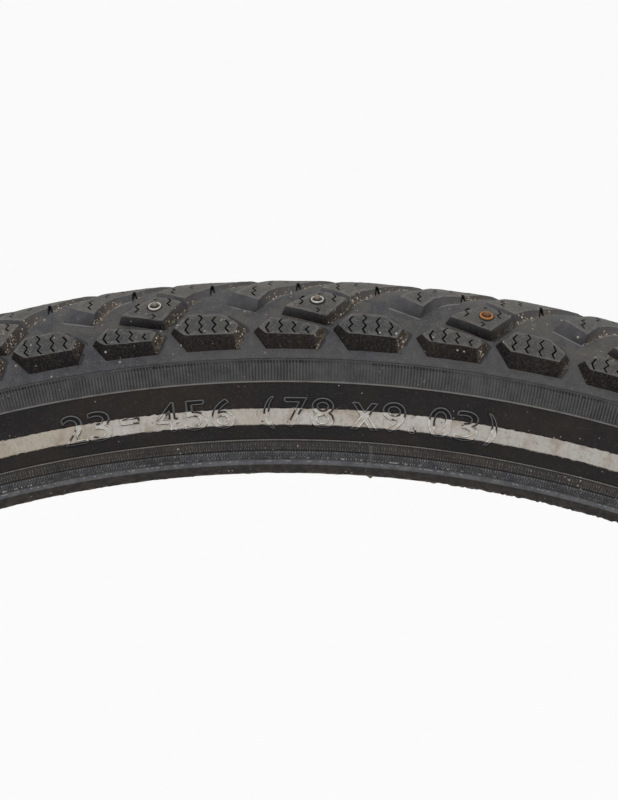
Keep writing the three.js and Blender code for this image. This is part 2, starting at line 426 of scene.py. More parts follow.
STUD_TOP = [(-5.2, 0.79), (5.4, 0.9325), (10.1, 0.635), (3.3, 0.47)]
STUD_FOOT = [(-6.5, 0.80), (5.9, 1.005), (11.4, 0.632), (2.7, 0.42)]
LARGE_TOP = [(10.9, 1.163), (23.3, 1.178), (24.6, 1.05), (20.3, 0.885), (11.5, 0.88), (8.3, 1.05)]
LARGE_FOOT = [(11.1, 1.352), (24.1, 1.352), (26.3, 1.06), (21.0, 0.83), (10.6, 0.83), (7.0, 1.052)]
SMALL_TOP = [(-9.7, 1.180), (2.5, 1.198), (3.9, 1.095), (2.5, 1.055), (-8.5, 0.96), (-11.6, 1.095)]
SMALL_FOOT = [(-9.8, 1.352), (3.3, 1.352), (5.5, 1.10), (3.6, 1.0), (-8.0, 0.905), (-13.1, 1.095)]


def crown_outline(near, centre):
    return near + [(2 * centre - a, -f) for a, f in near]


A_TOP = crown_outline([(-9.8, 0.0), (-18.2, 0.505), (-11.9, 0.676), (-9.5, 0.478), (-7.0, 0.392), (-2.60, 0.308), (-2.75, 0.235),
                       (-2.30, 0.228), (-2.12, 0.286)], MID)
A_FOOT = crown_outline([(-11.0, -0.02), (-20.2, 0.624), (-12.7, 0.757), (-9.7, 0.601), (-6.9, 0.492), (-2.35, 0.400), (-2.65, 0.250),
                        (-2.25, 0.243), (-1.92, 0.378)], MID)
A_SLOTS = [((-2.5, 0.23), (-2.15, 0.39))]
A_SLOTS += [((2 * MID - a[0], -a[1]), (2 * MID - b[0], -b[1])) for a, b in A_SLOTS]
B_TOP = crown_outline([(9.5, 0.0), (3.5, 0.365), (10.8, 0.575), (13.2, 0.445), (15.4, 0.38), (17.0, 0.337), (16.85, 0.255), (17.30, 0.248),
                       (17.5, 0.312)], 17.4)
B_FOOT = crown_outline([(8.2, -0.02), (2.9, 0.425), (11.4, 0.661), (13.5, 0.535), (15.6, 0.479), (17.25, 0.441), (16.95, 0.270),
                        (17.35, 0.263), (17.70, 0.420)], 17.4)
B_SLOTS = [((17.1, 0.25), (17.45, 0.43))]
CROWN_R_TOP = ([0.45] * 5 + [0.10] * 4) * 2
CROWN_R_FOOT = ([0.9] * 5 + [0.10] * 4) * 2
B_SLOTS += [((2 * 17.4 - a[0], -a[1]), (2 * 17.4 - b[0], -b[1])) for a, b in B_SLOTS]
# skirt rings round the stud and shoulder blocks' feet: offset, lift, foot dust, and the strength of the painted shadow
# on the floor beside the walls
SHADOW_SKIRT = ((0.25, 0.016, 0.0, 1.0), (0.75, 0.010, 0.0, 0.65), (1.45, -0.035, 0.0, 0.0))

sipe = zigzag
stud_block = make_block(STUD_TOP, STUD_FOOT, [sipe(-1.15, 11.9, 15.2, 3), sipe(3.1, 16.3, 17.7, 2, first=-1), sipe(3.4, 10.3, 11.3, 2),
                                              sipe(6.9, 11.0, 14.2, 3, first=-1)], skirt=SHADOW_SKIRT)
large_block = make_block(LARGE_TOP, LARGE_FOOT, [sipe(11.5, 18.6, 22.95, 4), sipe(14.9, 17.9, 23.05, 5, first=-1),
                                                 sipe(18.3, 18.5, 23.1, 4), sipe(21.6, 19.6, 23.1, 3, first=-1)], r_top=0.30, r_foot=0.40, skirt=SHADOW_SKIRT)
small_block = make_block(SMALL_TOP, SMALL_FOOT, [sipe(-9.3, 20.6, 23.4, 2), sipe(-6.0, 19.6, 23.5, 4), sipe(-2.7, 20.6, 23.5, 3, first=-1),
                                                 sipe(0.7, 21.8, 23.55, 2)], r_top=0.30, r_foot=0.40, skirt=SHADOW_SKIRT)


def mirrored(sipes, centre):
    out = list(sipes)
    for left, right in sipes:
        l2 = np.stack([2 * centre - right[:, 0], -right[:, 1]], -1)[::-1]
        r2 = np.stack([2 * centre - left[:, 0], -left[:, 1]], -1)[::-1]
        out.append((l2, r2))
    return out


a_block = make_block(A_TOP, A_FOOT, mirrored([sipe(-13.2, 6.6, 11.6, 4), sipe(-9.4, 2.0, 6.2, 4), sipe(-5.4, -1.0, 4.0, 4)], MID), grid=1.1, slots=A_SLOTS, r_top=CROWN_R_TOP, r_foot=CROWN_R_FOOT)
b_block = make_block(B_TOP, B_FOOT, mirrored([sipe(7.6, 4.2, 8.6, 4), sipe(12.0, 2.4, 6.2, 4), sipe(16.4, -1.6, 2.2, 4)], 17.4), grid=1.1, slots=B_SLOTS, r_top=CROWN_R_TOP, r_foot=CROWN_R_FOOT)


def replicate(name, template, both_sides, material, slot="tread_rubber", nodes=("tread",), seed=1, sharp=32, line=0.0):
    """Fifty copies round the tire, each a little different."""
    tv, tq, tt, att = template
    made = []
    for side in ((0, 1) if both_sides else (0,)):
        P = Part()
        g = np.random.default_rng(seed * 10 + side)
        for k in range(PITCHES):
            p = wrap(tv[:, 0] + k * PITCH_ARC, tv[:, 1], tv[:, 2])
            if side:
                p = half_turn(p)
            up = tv[:, 2]
            amp = np.where(up > 0.9, 1.0, 0.55)
            e = np.stack([waves(p, 2.2, seed * 100 + 1, 8), waves(p, 2.4, seed * 100 + 2, 8), waves(p, 2.3, seed * 100 + 3, 8)], -1)
            slow = waves(p, 14.0, seed * 100 + 4, 8)
            p = p + e * (0.030 * amp)[:, None]
            rad = p.copy()
            rad[:, 1] = 0
            rad /= np.linalg.norm(rad, axis=1)[:, None]
            p += rad * (0.05 * slow * (up > 0.5))[:, None]
            far = (p[:, 1] > 0) if not both_sides else np.full(len(p), bool(side))
            grit = np.where(far, att["minus"], att["plus"])
            film = np.where(far, att["dust_film_and_light_minus"], att["dust_film_and_light_plus"])
            shade = np.where(far, att["painted_shade_minus"], att["painted_shade_plus"])
            P.add(p, tq, tt, t=up, edge=att["edge"], sipe=att["sipe"], grit=grit * g.uniform(0.75, 1.0), film=film,
                  wall=att["wall"], line=att["front_foot_highlight"] * line, shade=shade)
        made.append(P.build(name + ("_left" if side else "_right" if both_sides else ""), material, slot, nodes, True, sharp))
    return made


# ------------------------------------------------------------------ materials
def new_material(name):
    m = bpy.data.materials.new(name)
    m.use_nodes = True
    nt = m.node_tree
    for n in list(nt.nodes):
        nt.nodes.remove(n)
    return m, nt


class Nodes:
    """Small helper for wiring node trees."""

    def __init__(self, nt):
        self.nt = nt

    def node(self, kind, **kw):
        n = self.nt.nodes.new(kind)
        for k, v in kw.items():
            setattr(n, k, v)
        return n

    def plug(self, socket, value):
        if isinstance(value, bpy.types.NodeSocket):
            self.nt.links.new(value, socket)
        elif value is not None:
            if socket.type == "RGBA" and len(value) == 3:
                value = (*value, 1.0)
            socket.default_value = value

    def math(self, op, a, b=None, c=None, clamp=False):
        n = self.node("ShaderNodeMath", operation=op, use_clamp=clamp)
        self.plug(n.inputs[0], a)
        if b is not None:
            self.plug(n.inputs[1], b)
        if c is not None:
            self.plug(n.inputs[2], c)
        return n.outputs[0]

    def vec(self, op, a, b=None, scale=None):
        n = self.node("ShaderNodeVectorMath", operation=op)
        self.plug(n.inputs[0], a)
        if b is not None:
            self.plug(n.inputs[1], b)
        if scale is not None:
            self.plug(n.inputs["Scale"], scale)
        return n.outputs["Value"] if op in ("DOT_PRODUCT", "LENGTH", "DISTANCE") else n.outputs["Vector"]

    def noise(self, vector, scale, detail=2.0, rough=0.5, w=None):
        n = self.node("ShaderNodeTexNoise", noise_dimensions="3D")
        self.plug(n.inputs["Vector"], vector)
        n.inputs["Scale"].default_value = scale
        n.inputs["Detail"].default_value = detail
        n.inputs["Roughness"].default_value = rough
        return n.outputs["Fac"]

    def voronoi(self, vector, scale, feature="F1", rand=1.0):
        n = self.node("ShaderNodeTexVoronoi", feature=feature)
        self.plug(n.inputs["Vector"], vector)
        n.inputs["Scale"].default_value = scale
        n.inputs["Randomness"].default_value = rand
        return n.outputs["Distance"], n.outputs.get("Color")

    def ramp(self, value, lo_, hi_, out_lo=0.0, out_hi=1.0, smooth=True):
        n = self.node("ShaderNodeMapRange", interpolation_type="SMOOTHSTEP" if smooth else "LINEAR")
        self.plug(n.inputs["Value"], value)
        n.inputs["From Min"].default_value = lo_
        n.inputs["From Max"].default_value = hi_
        n.inputs["To Min"].default_value = out_lo
        n.inputs["To Max"].default_value = out_hi
        return n.outputs["Result"]

    def mix(self, fac, a, b, blend="MIX"):
        n = self.node("ShaderNodeMix", data_type="RGBA", blend_type=blend)
        self.plug(n.inputs[0], fac)
        self.plug(n.inputs[6], a)
        self.plug(n.inputs[7], b)
        return n.outputs[2]

    def attr(self, name):
        n = self.node("ShaderNodeAttribute", attribute_type="GEOMETRY", attribute_name=name)
        return n.outputs["Fac"]

    def frame(self):
        """Object position (m), and the surface normal's parts along the tread, outwards and along the axle."""
        tc = self.node("ShaderNodeTexCoord")
        geo = self.node("ShaderNodeNewGeometry")
        pos = tc.outputs["Object"]
        flat_p = self.vec("MULTIPLY", pos, (1.0, 0.0, 1.0))
        er = self.vec("NORMALIZE", flat_p)
        et = self.vec("CROSS_PRODUCT", (0.0, 1.0, 0.0), er)
        nrm = geo.outputs["Normal"]
        return {"p": pos, "r": self.vec("LENGTH", flat_p), "nt": self.vec("DOT_PRODUCT", nrm, et),
                "nr": self.vec("DOT_PRODUCT", nrm, er), "ny": self.vec("DOT_PRODUCT", nrm, (0.0, 1.0, 0.0)),
                "er": er, "et": et, "y": self.vec("DOT_PRODUCT", pos, (0.0, 1.0, 0.0))}

    def finish(self, color, rough, bumps=(), metallic=0.0, spec=0.5, **kw):
        b = self.node("ShaderNodeBsdfPrincipled")
        self.plug(b.inputs["Base Color"], color)
        self.plug(b.inputs["Roughness"], rough)
        self.plug(b.inputs["Metallic"], metallic)
        self.plug(b.inputs["Specular IOR Level"], spec)
        for k, v in kw.items():
            self.plug(b.inputs[k], v)
        normal = None
        for height, strength, dist in bumps:
            n = self.node("ShaderNodeBump")
            n.inputs["Strength"].default_value = strength
            n.inputs["Distance"].default_value = dist
            self.plug(n.inputs["Height"], height)
            if normal is not None:
                self.plug(n.inputs["Normal"], normal)
            normal = n.outputs["Normal"]
        if normal is not None:
            self.plug(b.inputs["Normal"], normal)
        out = self.node("ShaderNodeOutputMaterial")
        self.nt.links.new(b.outputs[0], out.inputs["Surface"])
        return b


BROWN = (0.052, 0.040, 0.032)
BEIGE = (0.36, 0.29, 0.20)


def tread_material():
    m, nt = new_material("tread_rubber_worn")
    N = Nodes(nt)
    f = N.frame()
    p = f["p"]
    t = N.attr("t")
    wall = N.attr("wall")
    topness = N.math("SUBTRACT", 1.0, wall)
    grain = N.noise(p, 2600.0, 2.0, 0.6)
    fine = N.noise(p, 1200.0, 2.0, 0.6)
    mottle = N.noise(p, 420.0, 3.0, 0.6)
    blot = N.noise(p, 70.0, 3.0, 0.55)
    big = N.noise(p, 18.0, 2.0, 0.5)
    crown = N.ramp(f["r"], 316.5 * MM, 324.5 * MM)
    # worn tops: grey and speckled; shoulder strip bluer and smoother; walls near black, partly dark unworn rubber and
    # partly painted shade
    top_c = N.mix(N.ramp(mottle, 0.30, 0.72), (0.041, 0.0415, 0.043), (0.071, 0.071, 0.070))
    top_c = N.mix(N.math("MULTIPLY", crown, N.ramp(blot, 0.35, 0.65, 0.25, 1.0)), top_c, (0.104, 0.095, 0.082))
    top_c = N.mix(N.math("MULTIPLY", N.ramp(grain, 0.54, 0.70), 0.85), top_c, (0.17, 0.165, 0.15))
    top_c = N.mix(N.math("MULTIPLY", N.ramp(grain, 0.44, 0.30), 0.80), top_c, (0.018, 0.018, 0.019))
    floor_c = N.mix(N.ramp(mottle, 0.32, 0.72), (0.047, 0.048, 0.053), (0.084, 0.085, 0.090))
    floor_c = N.mix(N.math("MULTIPLY", N.ramp(blot, 0.42, 0.66), 0.35), floor_c, (0.090, 0.089, 0.090))
    # dust has settled in the grooves between the crown and the shoulder blocks
    settled = N.math("ADD", N.math("MULTIPLY", blot, 0.6), N.math("MULTIPLY", mottle, 0.5))
    settled = N.math("MULTIPLY", N.ramp(f["r"], 315.2 * MM, 317.6 * MM), N.ramp(settled, 0.44, 0.64))
    floor_c = N.mix(N.math("MULTIPLY", settled, 0.60), floor_c, (0.098, 0.087, 0.073))
    floor_c = N.mix(N.math("MULTIPLY", N.ramp(grain, 0.55, 0.72), 0.60), floor_c, (0.16, 0.155, 0.145))
    floor_c = N.mix(N.math("MULTIPLY", N.ramp(grain, 0.43, 0.28), 0.40), floor_c, (0.024, 0.024, 0.026))
    wall_c = N.mix(N.ramp(blot, 0.35, 0.7), (0.0105, 0.0096, 0.0098), (0.0200, 0.0160, 0.0145))
    wall_c = N.mix(N.math("MULTIPLY", N.ramp(fine, 0.45, 0.70), 0.45), wall_c, (0.044, 0.036, 0.033))
    wall_c = N.mix(N.math("MULTIPLY", N.ramp(grain, 0.50, 0.70), 0.60), wall_c, (0.070, 0.060, 0.054))
    wall_c = N.mix(N.math("MULTIPLY", N.ramp(grain, 0.46, 0.32), 0.6), wall_c, (0.005, 0.005, 0.005))
    high = N.ramp(t, 0.86, 0.97)
    flat_c = N.mix(high, floor_c, top_c)
    # the short walls of the centre blocks are smooth and grey, the tall shoulder walls stay dark with their painted
    # shade
    wall_c = N.mix(N.ramp(f["r"], 316.5 * MM, 322.0 * MM), wall_c, N.mix(N.ramp(mottle, 0.3, 0.7), (0.064, 0.064, 0.069), (0.092, 0.092, 0.097)))
    col = N.mix(topness, wall_c, flat_c)
    # worn, dusty edges
    edge = N.math("MULTIPLY", N.attr("edge"), N.ramp(N.noise(p, 330.0, 3.0, 0.7), 0.33, 0.56))
    col = N.mix(N.math("MULTIPLY", edge, 0.52), col, (0.185, 0.180, 0.172))
    # painted highlight: a light line along the foot of the centre blocks' front walls
    col = N.mix(N.math("MULTIPLY", N.attr("line"), 0.85), col, (0.185, 0.185, 0.192))
    # dust: brown film on walls that face +theta, partly painted light on that side of the blocks; beige grit at their
    # foot
    right = N.attr("film")
    film = N.math("MULTIPLY", right, N.ramp(N.math("ADD", N.math("MULTIPLY", blot, 0.6), N.math("MULTIPLY", mottle, 0.5)), 0.38, 0.66))
    film = N.math("MULTIPLY", film, N.math("SUBTRACT", 1.0, N.attr("sipe")))
    col = N.mix(N.math("MULTIPLY", film, 0.85), col, N.mix(mottle, BROWN, (0.096, 0.077, 0.060)))
    grit = N.math("MULTIPLY", N.attr("grit"), N.ramp(N.math("ADD", blot, N.math("MULTIPLY", crown, 0.12)), 0.38, 0.56))
    line = N.math("MULTIPLY", grit, N.ramp(fine, 0.36, 0.56))
    col = N.mix(N.math("MULTIPLY", line, 0.75), col, N.mix(N.ramp(N.noise(p, 1500.0, 1.0), 0.35, 0.65), (0.10, 0.082, 0.064), (0.27, 0.22, 0.16)))
    for scale, big_r, small_r, gain in ((1000.0, 0.34, 0.20, 0.44), (1750.0, 0.36, 0.20, 0.50)):
        specks, tint = N.voronoi(p, scale)
        speck = N.ramp(specks, big_r, small_r)
        area = N.math("ADD", N.math("MULTIPLY", film, gain), N.math("MULTIPLY", N.ramp(blot, 0.50, 0.70), N.math("MULTIPLY_ADD", crown, 0.20, 0.15)))
        area = N.math("ADD", area, N.math("MULTIPLY", grit, 0.55))
        area = N.math("ADD", area, N.math("MULTIPLY", N.math("MULTIPLY", settled, topness), 0.12))
        pick = N.vec("DOT_PRODUCT", tint, (0.5, 0.0, 0.0))
        amount = N.math("MULTIPLY", speck, N.ramp(N.math("ADD", area, pick), 0.60, 0.80))
        col = N.mix(amount, col, N.mix(N.vec("DOT_PRODUCT", tint, (0.0, 1.0, 0.0)), (0.17, 0.13, 0.095), (0.66, 0.60, 0.50)))
    specks, tint = N.voronoi(p, 540.0)
    size = N.math("MULTIPLY_ADD", N.vec("DOT_PRODUCT", tint, (0.0, 1.0, 0.0)), 0.10, 0.05)
    amount = N.math("MULTIPLY", N.ramp(N.math("SUBTRACT", specks, size), 0.05, 0.0), N.ramp(N.vec("DOT_PRODUCT", tint, (1.0, 0.0, 0.0)), 0.73, 0.80))
    col = N.mix(amount, col, N.mix(N.vec("DOT_PRODUCT", tint, (0.0, 0.0, 1.0)), (0.16, 0.14, 0.115), (0.44, 0.42, 0.385)))
    dusty = N.math("MULTIPLY", N.math("MULTIPLY", topness, N.ramp(big, 0.45, 0.75)), 0.25)
    col = N.mix(dusty, col, (0.11, 0.10, 0.088))
    # painted shadow on the groove floor beside the stud and shoulder blocks' walls
    col = N.mix(N.math("MULTIPLY", N.attr("shade"), 0.78), col, (0.012, 0.012, 0.0125))
    # painted shade: the sipes, the crown blocks' slits and the ring round each stud hole are painted near black
    col = N.mix(N.ramp(N.attr("sipe"), 0.25, 0.75), col, (0.004, 0.004, 0.004))
    rough = N.ramp(N.math("ADD", mottle, N.math("MULTIPLY", film, 0.4)), 0.2, 0.9, 0.62, 0.92)
    spec = N.math("MULTIPLY_ADD", topness, 0.22, 0.12)
    h = N.math("ADD", N.math("MULTIPLY", grain, 0.5), mottle)
    N.finish(col, rough, [(h, 0.55, 0.00012), (blot, 0.25, 0.0004)], spec=spec)
    return m


def band_mask(N, r, a, b, soft=0.00012):
    return N.math("MULTIPLY", N.ramp(r, a * MM - soft, a * MM + soft), N.ramp(r, b * MM + soft, b * MM - soft))


def sidewall_material():
    m, nt = new_material("sidewall_rubber_worn")
    N = Nodes(nt)
    f = N.frame()
    p, r = f["p"], f["r"]
    grain = N.noise(p, 2400.0, 2.0, 0.6)
    mottle = N.noise(p, 300.0, 3.0, 0.6)
    blot = N.noise(p, 45.0, 4.0, 0.6)
    rib = N.ramp(r, 302.45 * MM, 302.7 * MM)
    edge = N.attr("edge")
    dark = N.mix(N.ramp(blot, 0.35, 0.68), (0.0165, 0.0155, 0.0160), (0.026, 0.021, 0.0185))
    dark = N.mix(N.math("MULTIPLY", N.ramp(grain, 0.54, 0.72), 0.6), dark, (0.060, 0.052, 0.047))
    ribc = N.mix(N.ramp(mottle, 0.3, 0.7), (0.054, 0.053, 0.055), (0.086, 0.084, 0.085))
    ribc = N.mix(N.math("MULTIPLY", N.ramp(grain, 0.5, 0.75), 0.4), ribc, (0.13, 0.125, 0.12))
    col = N.mix(rib, dark, ribc)
    # painted highlight on the raised line below the ribs and on the rib crests
    col = N.mix(N.math("MULTIPLY", edge, N.ramp(mottle, 0.25, 0.6, 0.55, 1.0)), col, (0.19, 0.18, 0.172))
    valley = N.attr("valley")
    # painted shade in the rib valleys and the notches above the ribs
    col = N.mix(N.math("MULTIPLY", valley, N.ramp(mottle, 0.2, 0.7, 1.0, 0.65)), col, (0.014, 0.0135, 0.0135))
    scuff = N.ramp(N.noise(p, 30.0, 2.0, 0.5), 0.60, 0.74)
    col = N.mix(N.math("MULTIPLY", N.math("MULTIPLY", scuff, N.ramp(N.noise(p, 620.0, 3.0, 0.7), 0.5, 0.64)), 0.5), col, (0.16, 0.145, 0.125))
    specks, _ = N.voronoi(p, 700.0)
    amount = N.math("MULTIPLY", N.ramp(specks, 0.15, 0.08), N.ramp(N.noise(p, 160.0, 1.0), 0.56, 0.68))
    col = N.mix(amount, col, (0.34, 0.31, 0.27))
    rough = N.ramp(mottle, 0.2, 0.8, 0.60, 0.85)
    N.finish(col, rough, [(N.math("ADD", mottle, N.math("MULTIPLY", grain, 0.5)), 0.45, 0.0001)], spec=0.22)
    return m


def polar(N, f, arc_scale, r_scale):
    """Coordinates that run along the tread and outwards, mm of arc at the bead times arc_scale, and mm out times r_scale."""
    ang = N.math("ARCTAN2", N.vec("DOT_PRODUCT", f["p"], (1.0, 0.0, 0.0)), N.vec("DOT_PRODUCT", f["p"], (0.0, 0.0, 1.0)))
    comb = N.node("ShaderNodeCombineXYZ")
    N.plug(comb.inputs[0], N.math("MULTIPLY", ang, 285.0 * arc_scale))
    N.plug(comb.inputs[1], N.math("MULTIPLY", f["r"], 1000.0 * r_scale))
    N.plug(comb.inputs[2], N.math("MULTIPLY", f["y"], 20.0))
    return comb.outputs[0]


def line_at(N, r, centre, half):
    """1 on a thin line round the tire at radius centre, mm."""
    return N.ramp(N.math("ABSOLUTE", N.math("SUBTRACT", r, centre * MM)), half * MM, 0.3 * half * MM)


def chafer_material():
    m, nt = new_material("chafer_weave")
    N = Nodes(nt)
    f = N.frame()
    p, r = f["p"], f["r"]
    grain = N.noise(p, 2600.0, 2.0, 0.6)
    mottle = N.noise(p, 520.0, 3.0, 0.65)
    blot = N.noise(p, 40.0, 3.0, 0.6)
    streak = N.mix(N.ramp(r, 285.2 * MM, 285.6 * MM), N.noise(polar(N, f, 2.6, 1.9), 1.0, 2.0, 0.65), N.noise(polar(N, f, 3.0, 1.0), 1.0, 2.0, 0.65))
    stip = N.attr("stipple")
    upper = N.ramp(r, 285.25 * MM, 285.6 * MM)
    blue = N.mix(N.ramp(mottle, 0.3, 0.7), (0.066, 0.068, 0.074), (0.108, 0.110, 0.116))
    brown = N.mix(N.ramp(blot, 0.35, 0.65), (0.070, 0.066, 0.066), (0.086, 0.073, 0.062))
    blue = N.mix(N.ramp(r, 283.4 * MM, 283.0 * MM), blue, N.mix(N.ramp(mottle, 0.3, 0.7), (0.086, 0.088, 0.095), (0.142, 0.143, 0.149)))
    base = N.mix(upper, blue, brown)
    weave = N.math("MULTIPLY", N.ramp(r, 282.7 * MM, 283.3 * MM), N.ramp(r, 288.0 * MM, 287.8 * MM))
    ang = N.math("ARCTAN2", N.vec("DOT_PRODUCT", p, (1.0, 0.0, 0.0)), N.vec("DOT_PRODUCT", p, (0.0, 0.0, 1.0)))
    wob = N.math("MULTIPLY", N.noise(polar(N, f, 0.5, 0.8), 1.0, 1.0, 0.5), 8.0)
    across = N.math("SINE", N.math("ADD", N.math("MULTIPLY", ang, 285.0 * 2 * math.pi / 0.60), wob))
    along = N.math("SINE", N.math("MULTIPLY", r, 2 * math.pi / 0.00105))
    thread = N.math("ADD", N.math("MULTIPLY", across, 0.45), N.math("MULTIPLY", N.math("MULTIPLY", across, along), 0.65))
    thread = N.math("MULTIPLY", N.ramp(thread, -0.35, 0.85), N.ramp(streak, 0.38, 0.58, 0.25, 1.0))
    # painted light and shade of the weave: the threads are painted lighter, the pits between them and the low parts of
    # the relief near black
    pit = N.math("MULTIPLY", weave, N.math("SUBTRACT", 1.0, thread))
    col = N.mix(N.math("MULTIPLY", pit, N.mix(upper, (0.52, 0.52, 0.52), (0.66, 0.66, 0.66))), base, (0.013, 0.012, 0.012))
    lit = N.math("MULTIPLY", N.math("MULTIPLY", weave, thread), N.mix(upper, N.ramp(N.math("ABSOLUTE", N.math("SUBTRACT", r, 284.55 * MM)), 1.0 * MM, 0.3 * MM, 0.3, 1.0), (0.55, 0.55, 0.55)))
    col = N.mix(N.math("MULTIPLY", lit, N.ramp(mottle, 0.35, 0.6, 0.35, 0.95)), col, N.mix(upper, (0.235, 0.238, 0.245), (0.205, 0.190, 0.170)))
    col = N.mix(N.math("MULTIPLY", N.math("MULTIPLY", weave, N.ramp(stip, 0.35, 0.0)), 0.5), col, (0.012, 0.011, 0.011))
    col = N.mix(N.math("MULTIPLY", N.ramp(grain, 0.60, 0.74), 0.5), col, (0.22, 0.21, 0.19))
    # painted shade: near-black lines along the grooves at 287.75 and 285.42 mm
    col = N.mix(N.math("MULTIPLY", line_at(N, r, 287.75, 0.22), N.ramp(blot, 0.3, 0.6, 0.95, 0.5)), col, (0.010, 0.009, 0.009))
    col = N.mix(N.math("MULTIPLY", line_at(N, r, 285.42, 0.26), 0.9), col, (0.009, 0.009, 0.009))
    teeth = N.math("MULTIPLY", N.ramp(across, -0.5, 0.5, 0.40, 1.0), N.ramp(mottle, 0.3, 0.6, 0.55, 1.0))
    col = N.mix(N.math("MULTIPLY", line_at(N, r, 288.05, 0.22), teeth), col, (0.23, 0.215, 0.20))
    # worn threads: a broken light line and a row of dots
    worn = N.math("MULTIPLY", line_at(N, r, 283.55, 0.20), N.math("MULTIPLY", N.ramp(N.noise(polar(N, f, 1.5, 0.1), 1.0, 2.0, 0.7), 0.52, 0.62), N.ramp(N.noise(polar(N, f, 0.05, 0.1), 1.0, 1.0, 0.5), 0.44, 0.60, 0.25, 1.0)))
    col = N.mix(worn, col, N.mix(N.ramp(blot, 0.55, 0.62), (0.42, 0.41, 0.39), (0.52, 0.40, 0.26)))
    dots = N.math("MULTIPLY", line_at(N, r, 282.75, 0.17), N.ramp(N.noise(polar(N, f, 1.1, 0.1), 1.0, 0.0), 0.56, 0.66))
    col = N.mix(N.math("MULTIPLY", dots, 0.75), col, (0.34, 0.34, 0.34))
    col = N.mix(N.math("MULTIPLY", N.attr("flash"), 0.6), col, (0.15, 0.145, 0.14))
    toe = N.ramp(r, 281.95 * MM, 281.75 * MM)
    toe_c = N.mix(N.ramp(mottle, 0.35, 0.65), (0.026, 0.024, 0.023), (0.052, 0.044, 0.038))
    toe_c = N.mix(N.math("MULTIPLY", N.ramp(r, 279.95 * MM, 279.6 * MM), N.ramp(mottle, 0.45, 0.62)), toe_c, (0.17, 0.14, 0.115))
    col = N.mix(toe, col, toe_c)
    specks, _ = N.voronoi(p, 620.0)
    amount = N.math("MULTIPLY", N.ramp(specks, 0.16, 0.08), N.ramp(N.noise(p, 120.0, 1.0), 0.52, 0.66))
    col = N.mix(amount, col, (0.45, 0.42, 0.38))
    N.finish(col, 0.78, [(mottle, 0.5, 0.00015), (streak, 0.5, 0.0002)], spec=0.28)
    return m


def strip_material(name="reflective_strip_scuffed"):
    m, nt = new_material(name)
    N = Nodes(nt)
    f = N.frame()
    p, r = f["p"], f["r"]
    ang = N.math("ARCTAN2", N.vec("DOT_PRODUCT", p, (1.0, 0.0, 0.0)), N.vec("DOT_PRODUCT", p, (0.0, 0.0, 1.0)))
    comb = N.node("ShaderNodeCombineXYZ")
    N.plug(comb.inputs[0], N.math("MULTIPLY", ang, 294.0))
    N.plug(comb.inputs[1], N.math("MULTIPLY", r, 120.0))
    N.plug(comb.inputs[2], f["y"])
    wr = N.noise(comb.outputs[0], 0.42, 3.0, 0.65)
    crease = N.ramp(N.math("ABSOLUTE", N.math("SUBTRACT", wr, 0.5)), 0.012, 0.0)
    blot = N.noise(p, 55.0, 3.0, 0.6)
    fine = N.noise(p, 900.0, 3.0, 0.7)
    grain = N.noise(p, 3200.0, 1.0, 0.6)
    col = N.mix(N.ramp(blot, 0.35, 0.68), (0.60, 0.585, 0.555), (0.52, 0.468, 0.405))
    # long stretches stained beige, one of them left of the characters
    stain = N.math("MAXIMUM", N.ramp(N.noise(p, 11.0, 1.0, 0.5), 0.55, 0.68), N.math("MULTIPLY", N.ramp(ang, -0.165, -0.19), N.ramp(ang, -0.40, -0.34)))
    col = N.mix(N.math("MULTIPLY", stain, 0.8), col, N.mix(N.ramp(blot, 0.4, 0.65), (0.50, 0.43, 0.345), (0.42, 0.345, 0.26)))
    dull = N.math("MULTIPLY", N.ramp(ang, 0.10, 0.16), N.ramp(ang, 0.60, 0.50))
    col = N.mix(N.math("MULTIPLY", dull, 0.45), col, (0.46, 0.43, 0.385))
    col = N.mix(N.ramp(N.noise(p, 160.0, 3.0, 0.6), 0.52, 0.72, 0.0, 0.75), col, (0.34, 0.26, 0.19))
    col = N.mix(N.ramp(fine, 0.50, 0.72, 0.0, 0.65), col, (0.33, 0.295, 0.255))
    col = N.mix(N.math("MULTIPLY", crease, 0.35), col, (0.17, 0.145, 0.12))
    col = N.mix(N.math("MULTIPLY", N.ramp(grain, 0.62, 0.75), 0.4), col, (0.12, 0.10, 0.09))
    edge = N.math("MAXIMUM", N.ramp(r, 292.05 * MM, 291.85 * MM), N.ramp(r, 295.75 * MM, 295.95 * MM))
    col = N.mix(N.math("MULTIPLY", edge, N.ramp(fine, 0.35, 0.6, 0.2, 1.0)), col, (0.06, 0.052, 0.047))
    specks, _ = N.voronoi(p, 420.0)
    col = N.mix(N.math("MULTIPLY", N.ramp(specks, 0.15, 0.09), N.ramp(blot, 0.45, 0.6)), col, (0.05, 0.042, 0.036))
    N.finish(col, 0.48, [(wr, 0.25, 0.0006), (fine, 0.3, 0.0001)], spec=0.35)
    return m


